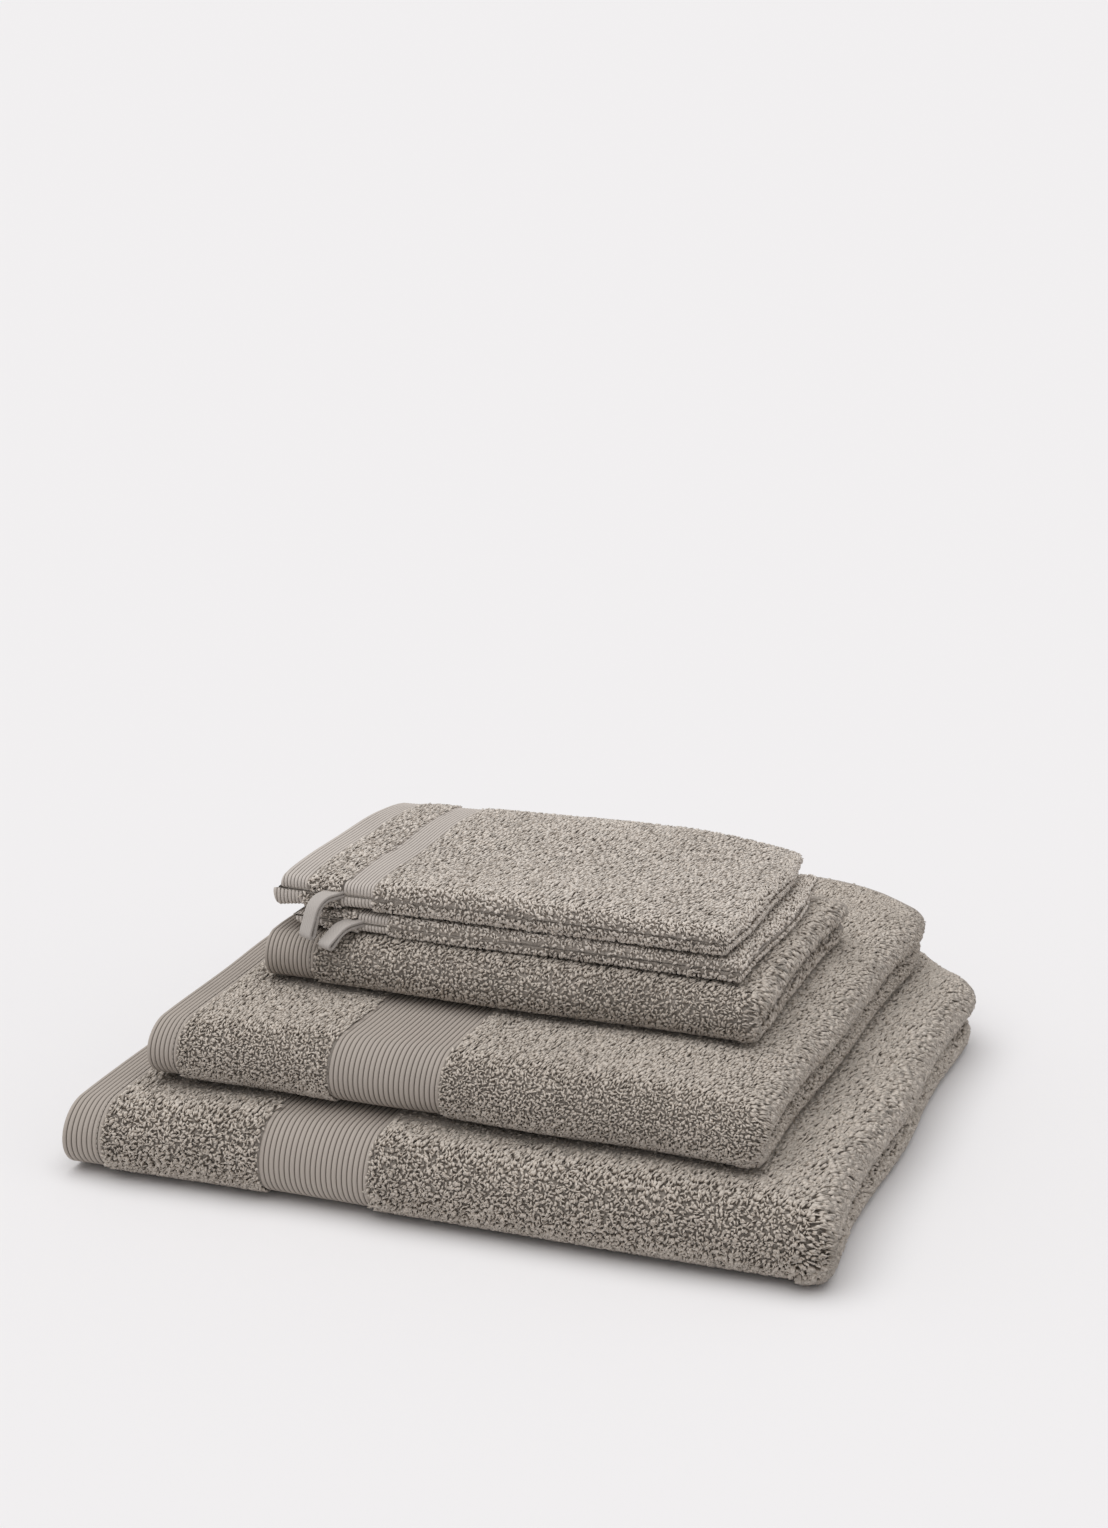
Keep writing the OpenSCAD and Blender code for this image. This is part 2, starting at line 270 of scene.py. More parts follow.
PILE = Finish("terry_pile", (0.74, 0.672, 0.598), (0.39, 0.34, 0.29), Weave.PILE, pitch=0.5,
              relief=0.12, patches=0.5)
FINE_PILE = Finish("mitt_pile", (0.88, 0.81, 0.735), (0.48, 0.425, 0.37), Weave.PILE, pitch=0.5,
                   relief=0.12, patches=0.5)
# The near-black dark colour of the ribbed cotton is painted shade in the grooves between the ribs.
FINE_RIBBED = Finish("mitt_band_cotton", (0.60, 0.55, 0.505), (0.12, 0.1, 0.086), Weave.RIB,
                     pitch=0.7, relief=0.06, flecks=0.12, fleck_size=0.9)
# The bare terry ground under the loops is painted dark, as painted shade in the gaps between them.
PAINTED_SHADE_GROUND = Finish("terry_ground_painted_shade", (0.54, 0.49, 0.44), (0.16, 0.14, 0.12), Weave.PILE, pitch=1.2,
                relief=0.9, flecks=1.2, fleck_size=1.2)
# The near-black dark colour of the ribbed cotton is painted shade in the grooves between the ribs.
RIBBED = Finish("band_cotton", (0.45, 0.402, 0.358), (0.085, 0.072, 0.06), Weave.RIB, pitch=0.7,
                relief=0.06, flecks=0.12, fleck_size=0.9)
HEMMED = Finish("hem_cotton", (0.46, 0.412, 0.368), (0.2, 0.175, 0.15), Weave.PLAIN, pitch=0.9,
                relief=0.12, flecks=0.2)
THREAD = Finish("sewing_cotton", (0.48, 0.43, 0.385), (0.2, 0.178, 0.155), Weave.TWIST, pitch=0.5,
                relief=0.05)
TAPE = Finish("tape_cotton", (0.56, 0.52, 0.485), (0.22, 0.20, 0.185), Weave.TWILL, pitch=0.9,
              relief=0.12, flecks=0.15, fleck_size=0.8)


# ---- Meshes ----


@dataclass
class Patch:
    """The arrays of one or more closed shells, before they become a mesh.

    verts is in metres, tone is the painted shade of each vertex by its depth, with some
    random tint, from 0 to 1, and weave is its place on the flat cloth in millimetres.
    """

    verts: Array
    quads: Array
    tris: Array
    tone: Array
    weave: Array

    def __add__(self, other: "Patch") -> "Patch":
        """Joins two patches.

        Args:
            other: The patch whose arrays come after this one's.

        Returns:
            Both patches as one.
        """
        shift = len(self.verts)
        return Patch(
            np.concatenate([self.verts, other.verts]),
            np.concatenate([self.quads, other.quads + shift]),
            np.concatenate([self.tris, other.tris + shift]),
            np.concatenate([self.tone, other.tone]),
            np.concatenate([self.weave, other.weave]),
        )

    def volume(self) -> float:
        """Adds up what each face encloses.

        Returns:
            The signed volume, which is negative if the faces point inwards.
        """
        total = 0.0
        for faces in (self.quads, self.tris):
            for k in range(1, faces.shape[1] - 1):
                a, b, c = (self.verts[faces[:, i]] for i in (0, k, k + 1))
                total += float(np.einsum("ij,ij->i", a, np.cross(b, c)).sum()) / 6
        return total

    def mesh_object(self, name: str, finish: Finish) -> bpy.types.Object:
        """Makes the object, with its faces outwards and its maps in place.

        Args:
            name: The piece's name.
            finish: What it is dressed in.

        Returns:
            The new object, at the origin, with its place in its mesh.
        """
        quads, tris = self.quads, self.tris
        if self.volume() < 0:
            quads, tris = quads[:, ::-1], tris[:, ::-1]
        mesh = bpy.data.meshes.new(name)
        corners = np.concatenate([quads.ravel(), tris.ravel()]).astype(np.int32)
        counts = np.concatenate([np.full(len(quads), 4), np.full(len(tris), 3)]).astype(np.int32)
        mesh.vertices.add(len(self.verts))
        mesh.vertices.foreach_set("co", self.verts.astype(np.float32).ravel())
        mesh.loops.add(len(corners))
        mesh.loops.foreach_set("vertex_index", corners)
        mesh.polygons.add(len(counts))
        mesh.polygons.foreach_set("loop_start", (np.cumsum(counts) - counts).astype(np.int32))
        mesh.polygons.foreach_set("loop_total", counts)
        mesh.polygons.foreach_set("use_smooth", np.ones(len(counts), bool))
        mesh.update(calc_edges=True)
        low, high = self.weave.min(0), self.weave.max(0)
        flat = (self.weave - low) / np.maximum(high - low, 1e-9)
        for label, places in (("OFBake", flat), ("weave", self.weave * MM)):
            layer = mesh.uv_layers.new(name=label)
            layer.uv.foreach_set("vector", places[corners].astype(np.float32).ravel())
        tone = mesh.attributes.new("tone", "FLOAT", "POINT")
        tone.data.foreach_set("value", self.tone.astype(np.float32))
        mesh.materials.append(finish.material())
        made = bpy.data.objects.new(name, mesh)
        bpy.context.scene.collection.objects.link(made)
        return made


def grid_faces(rows: int, columns: int, start: int = 0) -> Array:
    """Joins a grid of points, counted row by row.

    Args:
        rows: How many rows the grid has.
        columns: How many points a row has.
        start: Number of its first point.

    Returns:
        The quads.
    """
    i, j = np.meshgrid(np.arange(rows - 1), np.arange(columns - 1), indexing="ij")
    first = start + i * columns + j
    return np.stack([first, first + 1, first + columns + 1, first + columns], -1).reshape(-1, 4)


def slab(
    rows: Array, columns: Array, outer: Surface, inner: Surface, tone: Surface | None = None
) -> Patch:
    """A closed sheet between two surfaces over the same grid.

    Args:
        rows: Stations along the cloth.
        columns: Stations across the cloth.
        outer: Gives the places of the outer face.
        inner: Gives the places of the inner face.
        tone: Gives the painted shade of the outer face's points by depth, with some random
            tint, or None for even cloth.

    Returns:
        The closed patch.
    """
    s, v = (a.ravel() for a in np.meshgrid(rows, columns, indexing="ij"))
    many, wide = len(rows), len(columns)
    size = many * wide
    top = grid_faces(many, wide)
    bottom = grid_faces(many, wide, size)[:, ::-1]
    j, i = np.arange(wide - 1), np.arange(many - 1)
    last_row, last_column = (many - 1) * wide, wide - 1
    rims = [
        np.stack([j + 1, j, j + size, j + 1 + size], -1),
        np.stack([j, j + 1, j + 1 + size, j + size], -1) + last_row,
        np.stack([i, i + 1, i + 1, i], -1) * wide + [0, 0, size, size],
        np.stack([i + 1, i, i, i + 1], -1) * wide + last_column + [0, 0, size, size],
    ]
    shade = np.full(size, EVEN_TONE) if tone is None else tone(s, v)
    flat = np.stack([s, v], -1)
    return Patch(
        np.concatenate([outer(s, v), inner(s, v)]),
        np.concatenate([top, bottom, *rims]),
        np.zeros((0, 3), int),
        np.concatenate([shade, shade]),
        np.concatenate([flat, flat]),
    )


def rounded(distance: Array, radius: float) -> Array:
    """How thick a rounded edge is at a distance from it, from THINNEST up to 1."""
    near = np.clip(1 - distance / radius, 0, 1)
    return np.maximum(np.sqrt(1 - near**2), THINNEST)


def smooth(share: Array) -> Array:
    """A soft step from 0 to 1."""
    t = np.clip(share, 0, 1)
    return t * t * (3 - 2 * t)


def wander(x: Array, y: Array, size: float, seed: int) -> Array:
    """A soft, seeded up and down of about -1 to 1.

    Args:
        x: First coordinate.
        y: Second coordinate.
        size: Length of its typical wave.
        seed: Which one of them.

    Returns:
        Its value at each point.
    """
    draw = np.random.default_rng(seed)
    total = np.zeros(np.broadcast(x, y).shape)
    for _ in range(WAVES):
        turn, phase, stretch = draw.uniform(0, math.tau, 2).tolist() + [draw.uniform(0.6, 1.6)]
        along = x * math.cos(turn) + y * math.sin(turn)
        total += np.sin(along * math.tau / (size * stretch) + phase)
    return total / WAVES_PEAK


def stations(stops: Iterable[float], steps: Iterable[float]) -> Array:
    """Divides each stretch between two stops into about its own step.

    Args:
        stops: Where each stretch starts, and where the last one ends.
        steps: The step of each stretch.

    Returns:
        The stations, with every stop among them.
    """
    stops, steps = list(stops), list(steps)
    runs = [
        np.linspace(a, b, max(2, math.ceil((b - a) / step) + 1))[:-1]
        for a, b, step in zip(stops[:-1], stops[1:], steps, strict=True)
    ]
    return np.concatenate([*runs, [stops[-1]]])


# ---- Where things lie ----


@dataclass(frozen=True)
class Placement:
    """Where a piece's front left bottom corner stands in the frame, and its turn."""

    corner: Vector
    turn: float

    def to_frame(self, local: Array) -> Array:
        """Turns and moves local points.

        Args:
            local: Points in the piece's own frame, in millimetres.

        Returns:
            Their places in the frame, in metres.
        """
        c, s = math.cos(self.turn), math.sin(self.turn)
        x, y, z = (local * MM).T
        across, along = self.corner.x + c * x - s * y, self.corner.y + s * x + c * y
        return np.stack([across, along, self.corner.z + z], -1)

    def to_local(self, places: Array) -> Array:
        """Turns and moves points back.

        Args:
            places: Points in the frame, in metres.

        Returns:
            Their places in the piece's own frame, in millimetres.
        """
        c, s = math.cos(self.turn), math.sin(self.turn)
        x, y, z = (places - np.array(self.corner)).T / MM
        return np.stack([c * x + s * y, c * y - s * x, z], -1)


@dataclass(frozen=True)
class Block:
    """The room a folded towel or a mitt takes: its placement and its three sizes."""

    place: Placement
    length: float
    depth: float
    height: float

    @classmethod
    def around(cls, start: str, turn_deg: float) -> "Block":
        """Reads the block of all CAD nodes whose names begin alike, without a loop.

        Args:
            start: What the nodes' names begin with.
            turn_deg: How far the piece is turned on the stack, in degrees.

        Returns:
            The block, in millimetres.
        """
        boxes = [
            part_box(n) for n in frame["nodes"] if n.startswith(start) and not n.endswith("_loop")
        ]
        low = Vector([min(b[0][i] for b in boxes) for i in range(3)])
        size = Vector([max(b[1][i] for b in boxes) for i in range(3)]) - low
        turn = math.radians(turn_deg)
        c, k = math.cos(turn), abs(math.sin(turn))
        length = (size.x * c - size.y * k) / (c * c - k * k)
        depth = (size.y * c - size.x * k) / (c * c - k * k)
        corner = Vector((low.x, low.y + length * k, low.z))
        return cls(Placement(corner, turn), length / MM, depth / MM, size.z / MM)

    def covers(self, places: Array, margin: float) -> Array:
        """How surely each point lies under this block: 1 well inside, 0 outside.

        Args:
            places: Points in the frame, in metres.
            margin: Width of the soft rim inside its outline.

        Returns:
            A share from 0 to 1 for each point.
        """
        x, y, _ = self.place.to_local(places).T
        inside = np.minimum.reduce([x, y, self.length - x, self.depth - y])
        return smooth(inside / margin)


@dataclass(frozen=True)
class Softness:
    """How a packet sinks and wanders from its square shape, all in millimetres.

    drops and pulls are for the corners front left, front right, back left and back right,
    and edges is the drop along the left, right, front and back edge. wave is how far the
    outline wanders, and ripple how far the top does.
    """

    edges: tuple[float, float, float, float] = (0, 0, 0, 0)
    reach: float = 40
    drops: tuple[float, float, float, float] = (0, 0, 0, 0)
    pulls: tuple[float, float, float, float] = (0, 0, 0, 0)
    corner_reach: float = 70
    ripple: float = 0.8
    ripple_length: float = 95
    wave: float = 1.0
    wave_lengths: tuple[float, float] = (90, 110)
    seed: int = 1

    def shaped(self, local: Array, block: Block) -> Array:
        """Moves local points softly.

        Args:
            local: Points in the packet's own frame.
            block: The packet's room.

        Returns:
            The moved points.
        """
        x, y, z = local.T
        high = np.clip(z / block.height, 0, 1.1)
        sides = [x, block.length - x, y, block.depth - y]
        near = [np.clip(1 - side / self.reach, 0, 1) ** 2 for side in sides]
        drop = sum(n * d for n, d in zip(near, self.edges, strict=True))
        wide = [smooth(1 - side / self.corner_reach) for side in sides]
        pull_x, pull_y = np.zeros_like(x), np.zeros_like(y)
        for index, (side, end) in enumerate([(0, 2), (1, 2), (0, 3), (1, 3)]):
            close = wide[side] * wide[end]
            drop = drop + close * self.drops[index]
            pull_x += close**2 * self.pulls[index] * (1 if side == 0 else -1)
            pull_y += close**2 * self.pulls[index] * (1 if end == 2 else -1)
        across, along = y / block.depth, x / block.length
        side_wave, front_wave = self.wave_lengths
        pull_x += self.wave * wander(y, z * 0, side_wave, self.seed) * (2 * along - 1) ** 3
        pull_y += self.wave * wander(x, z * 0, front_wave, self.seed + 1) * (2 * across - 1) ** 3
        lift = self.ripple * wander(x, y, self.ripple_length, self.seed + 2)
        return np.stack([x + pull_x, y + pull_y, z + high * (lift - drop)], -1)


# ---- Folded towels ----


class LeafPath:
    """The way the cloth of one leaf goes, seen from the front: along X and into the packet."""

    SAMPLE = 0.4

    def __init__(
        self, length: float, layer: float, layers: int, ends: tuple[float, float]
    ) -> None:
        """Lays the runs and turns of the path.

        Args:
            length: Length of the packet.
            layer: Thickness of one layer.
            layers: Layers in a leaf, 4 or 2.
            ends: Set-back of the inner hem's end and of the inner fold from the left end.
        """
        # The middle of the layer number k from the outside lies k + 0.5 layers deep.
        outer = (layers - 1) / 2 * layer
        right = length - layers / 2 * layer
        marks = [0.0]
        parts = [self._run(0, right, 0.5 * layer)]
        marks.append(right)
        parts.append(self._turn(right, layers / 2 * layer, outer, -90, 90))
        marks.append(marks[-1] + math.pi * outer)
        if layers == 4:
            left = ends[1] + layer
            small = layer / 2
            parts.append(self._run(right, left, 3.5 * layer))
            parts.append(self._turn(left, 3 * layer, small, 90, 270))
            parts.append(self._run(left, right, 2.5 * layer))
            parts.append(self._turn(right, 2 * layer, small, 90, -90))
            parts.append(self._run(right, ends[0], 1.5 * layer))
            for step in (right - left, math.pi * small, right - left, math.pi * small):
                marks.append(marks[-1] + step)
        else:
            parts.append(self._run(right, ends[0], 1.5 * layer))
        marks.append(marks[-1] + right - ends[0])
        line = np.concatenate(parts)
        step = np.linalg.norm(np.diff(line, axis=0), axis=1)
        keep = np.concatenate([[True], step > 1e-6])
        self.line = line[keep]
        self.along = np.concatenate([[0], np.cumsum(step[step > 1e-6])])
        ahead = np.gradient(self.line, self.along, axis=0)
        ahead /= np.linalg.norm(ahead, axis=1, keepdims=True)
        self.out = np.stack([ahead[:, 1], -ahead[:, 0]], -1)
        self.marks = marks
        self.total = float(self.along[-1])

    def _run(self, start: float, end: float, deep: float) -> Array:
        """Lays a straight run.

        Args:
            start: Where it starts along X.
            end: Where it ends along X.
            deep: How deep in the packet it lies.

        Returns:
            Its points.
        """
        many = max(2, int(abs(end - start) / self.SAMPLE))
        return np.stack([np.linspace(start, end, many), np.full(many, deep)], -1)

    def _turn(self, x: float, deep: float, radius: float, start: float, end: float) -> Array:
        """Lays a half turn round a centre.

        Args:
            x: Where the centre is along X.
            deep: How deep in the packet the centre lies.
            radius: Radius of the turn.
            start: Angle of its start, in degrees from X towards the inside.
            end: Angle of its end.

        Returns:
            Its points.
        """
        many = max(12, int(math.pi * radius / self.SAMPLE))
        angle = np.radians(np.linspace(start, end, many))
        return np.stack([x + radius * np.cos(angle), deep + radius * np.sin(angle)], -1)

    def at(self, s: Array, rise: Array | float) -> tuple[Array, Array]:
        """Follows the path.

        Args:
            s: How far along the cloth.
            rise: How far above the cloth's middle, on its outer side.

        Returns:
            The places along X and the depths.
        """
        x, deep, out_x, out_deep = (
            np.interp(s, self.along, column) for column in (*self.line.T, *self.out.T)
        )
        norm = np.maximum(np.hypot(out_x, out_deep), 0.5)
        return x + rise * out_x / norm, deep + rise * out_deep / norm

    def stops(self, start: float, end: float, run: float, turn: float) -> Array:
        """Divides a stretch, more finely on the turns than on the runs.

        Args:
            start: Where the stretch starts.
            end: Where it ends.
            run: Step on the runs.
            turn: Step on the turns.

        Returns:
            The stations.
        """
        inside = [m for m in self.marks if start + 0.5 < m < end - 0.5]
        stops = [start, *inside, end]
        steps = []
        for a, b in zip(stops[:-1], stops[1:], strict=True):
            middle = (a + b) / 2
            index = sum(m < middle for m in self.marks) - 1
            steps.append(turn if index % 2 else run)
        return stations(stops, steps)


@dataclass(frozen=True)
class Band:
    """A ribbed band woven across the towel: where it starts, its width and its ribs."""

    start: float
    width: float
    ribs: int
    rib_height: float = 1.1

    RIDGE = (0.0, 0.05, 0.16, 0.33, 0.5, 0.67, 0.84, 0.95)  # stations, close at the grooves

    @property
    def end(self) -> float:
        """Where the band ends."""
        return self.start + self.width

    def rows(self) -> Array:
        """Lays stations that follow each rib's round back.

        Returns:
            The stations along the cloth.
        """
        pitch = self.width / self.ribs
        ridge = np.array(self.RIDGE)
        lines = (np.arange(self.ribs)[:, None] + ridge[None, :]).ravel() * pitch
        return self.start + np.append(lines, self.width)

    def share(self, s: Array) -> Array:
        """How high a point is on its rib, from 0 in the groove to 1 on its back."""
        across = (s - self.start) / self.width * self.ribs % 1.0
        return np.sqrt(np.clip(1 - (2 * across - 1) ** 2, 0, 1))


@dataclass
class Tuft:
    """One small arch of yarn, modelled once and copied over the cloth."""

    verts: Array
    quads: Array
    tris: Array

    WIDTHS = (0.8, 1.25)
    BEND = 0.35
    # Painted shade: an arch is painted darkest at its feet and lighter up to its crest;
    # TONE_SPREAD adds random tint per arch.
    PAINTED_FOOT_SHADE = 0.25
    PAINTED_SHADE_FADE = 0.65
    TONE_SPREAD = 0.09
    CREST = 1.5

    @classmethod
    def modelled(cls, reach: float, yarn: float, steps: int = 3) -> "Tuft":
        """Spins a three-sided yarn through half a turn, pinches its feet and widens its top.

        Args:
            reach: Half the width of the arch.
            yarn: Radius of the yarn.
            steps: How many segments the arch has.

        Returns:
            The arch as arrays, in millimetres.
        """
        bpy.ops.object.select_all(action="DESELECT")
        bpy.ops.mesh.primitive_circle_add(vertices=3, radius=yarn, location=(reach, 0, 0))
        yarn_arch = bpy.context.object
        bpy.ops.object.mode_set(mode="EDIT")
        bpy.ops.mesh.select_all(action="SELECT")
        bpy.ops.mesh.spin(steps=steps, angle=math.pi, center=(0, 0, 0), axis=(0, 1, 0))
        bpy.ops.mesh.select_all(action="SELECT")
        bpy.ops.mesh.remove_doubles(threshold=0.001)
        for foot in (-reach, reach):
            bpy.ops.mesh.select_all(action="DESELECT")
            bpy.ops.object.mode_set(mode="OBJECT")
            for vertex in yarn_arch.data.vertices:
                away = (vertex.co + yarn_arch.location - Vector((foot, 0, 0))).length
                vertex.select = away < 1.01 * yarn
            bpy.ops.object.mode_set(mode="EDIT")
            bpy.ops.mesh.merge(type="CENTER")
        bpy.ops.mesh.select_all(action="DESELECT")
        bpy.ops.object.mode_set(mode="OBJECT")
        for vertex in yarn_arch.data.vertices:
            vertex.select = vertex.co.z > yarn
        bpy.ops.object.mode_set(mode="EDIT")
        bpy.ops.transform.resize(value=(cls.CREST, 1, 1))
        bpy.ops.mesh.select_all(action="SELECT")
        bpy.ops.mesh.normals_make_consistent(inside=False)
        bpy.ops.object.mode_set(mode="OBJECT")
        mesh = yarn_arch.data
        verts = np.array([v.co for v in mesh.vertices]) + np.array(yarn_arch.location)
        faces = [tuple(p.vertices) for p in mesh.polygons]
        quads = np.array([f for f in faces if len(f) == 4])
        tris = np.array([f for f in faces if len(f) == 3])
        bpy.data.objects.remove(yarn_arch)
        bpy.data.meshes.remove(mesh)
        return cls(verts, quads, tris)

    def planted(
        self,
        s: Array,
        v: Array,
        height: Array,
        lift: Lift,
        draw: np.random.Generator,
        lean: float,
        scatter: float = math.pi,
        comb: Array | float = 0.0,
    ) -> Patch:
        """Copies the arch to many spots on a surface.

        Args:
            s: Where each one stands along the cloth.
            v: Where each one stands across the cloth.
            height: How tall each one is, in millimetres.
            lift: Gives the place of a point at (s, v) and a rise.
            draw: Where the chances come from.
            lean: How far a tip may lean, as a share of the height.
            scatter: How far each one may turn from lying along the cloth, in radians.
            comb: How far each tip is combed, along and across, as a share of the height.

        Returns:
            All arches as one patch.
        """
        many, each = len(s), len(self.verts)
        a, b, c = self.verts.T
        top = c.max()
        turn = draw.uniform(-scatter, scatter, many)[:, None]
        wide = draw.uniform(*self.WIDTHS, many)[:, None]
        bend = draw.normal(0, self.BEND, many)[:, None]
        share = np.clip(c / top, 0, 1)[None, :]
        rise = c[None, :] / top * height[:, None]
        a = a[None, :] * wide
        b = b[None, :] + bend * share * np.sign(a) * 0.8
        tip = (comb + draw.normal(0, lean, (2, many)))[:, :, None] * rise
        along = s[:, None] + a * np.cos(turn) - b * np.sin(turn) + tip[0]
        across = v[:, None] + a * np.sin(turn) + b * np.cos(turn) + tip[1]
        places = lift(along.ravel(), across.ravel(), rise.ravel())
        # Painted shade, darker at the feet and lighter towards the crest, with a random tint per
        # arch.
        chance = draw.normal(0, self.TONE_SPREAD, many)[:, None]
        tone = np.clip(self.PAINTED_FOOT_SHADE + self.PAINTED_SHADE_FADE * share + chance, 0, 1)
        tone = tone * np.ones((many, each))
        shift = (np.arange(many) * each)[:, None, None]
        return Patch(
            places,
            (self.quads[None] + shift).reshape(-1, 4),
            (self.tris[None] + shift).reshape(-1, 3),
            tone.ravel(),
            np.stack([along.ravel(), across.ravel()], -1),
        )


@dataclass
class PileMaker:
    """Plants looped pile on regions of cloth and shares it out over pieces."""

    tuft: Tuft
    spacing: float
    height: float
    lean: float
    seed: int
    comb: tuple[float, float] = (0.0, 0.0)
    scatter: float = math.pi
    jitter: float = 0.35
    thinning: float = 0.72
    most: int = 14000

    EVENNESS = (0.75, 1.15)

    def spots(self, s_range: tuple[float, float], v_range: tuple[float, float]) -> Array:
        """Scatters spots over a stretch of cloth.

        Args:
            s_range: Where the stretch starts and ends along the cloth.
            v_range: Where it starts and ends across the cloth.

        Returns:
            The spots, as rows of (s, v).
        """
        draw = np.random.default_rng(self.seed)
        rows = np.arange(s_range[0] + self.spacing / 2, s_range[1], self.spacing)
        columns = np.arange(v_range[0] + self.spacing / 2, v_range[1], self.spacing)
        s, v = np.meshgrid(rows, columns, indexing="ij")
        v = v + (np.arange(len(rows)) % 2)[:, None] * self.spacing / 2
        s = s + draw.uniform(-self.jitter, self.jitter, s.shape) * self.spacing
        v = v + draw.uniform(-self.jitter, self.jitter, s.shape) * self.spacing
        both = np.stack([s.ravel(), v.ravel()], -1)
        return both[both[:, 1] < v_range[1]]

    def heights(self, draw: np.random.Generator, many: int) -> Array:
        """Uneven heights for many arches."""
        return self.height * draw.uniform(*self.EVENNESS, many)

    def pieces(
        self,
        name: str,
        spots: Array,
        height: Array,
        lift: Lift,
        lying: Array,
        finish: Finish,
    ) -> list[bpy.types.Object]:
        """Plants all spots and splits them over as many objects as needed.

        Args:
            name: What the pieces' names begin with.
            spots: Rows of (s, v).
            height: Height of each arch.
            lift: Gives the place of a point at (s, v) and a rise.
            lying: How much of the combing each one takes, from 0 to 1.
            finish: What they are dressed in.

        Returns:
            The new objects.
        """
        draw = np.random.default_rng(self.seed + 1)
        parts = max(1, math.ceil(len(spots) / self.most))
        order = np.argsort(spots[:, 1], kind="stable")
        made = []
        for index, chosen in enumerate(np.array_split(order, parts)):
            patch = self.tuft.planted(
                spots[chosen, 0], spots[chosen, 1], height[chosen], lift, draw, self.lean,
                self.scatter, np.outer(self.comb, lying[chosen]),
            )
            label = name if parts == 1 else f"{name}_{index + 1}"
            made.append(patch.mesh_object(label, finish))
        return made


def enter(piece: bpy.types.Object, body: str, slot: str, *nodes: str) -> bpy.types.Object:
    """Lets a piece ride on a body, hides the CAD nodes that it replaces, and reports it.

    Args:
        piece: The finished piece.
        body: The CAD body it moves with.
        slot: The record's material slot; not used.
        nodes: The CAD nodes that it replaces.

    Returns:
        The piece.
    """
    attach(piece, body)
    if nodes:
        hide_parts(*nodes)
    log.info("%s: %d faces on %s", piece.name, len(piece.data.polygons), body)
    return piece


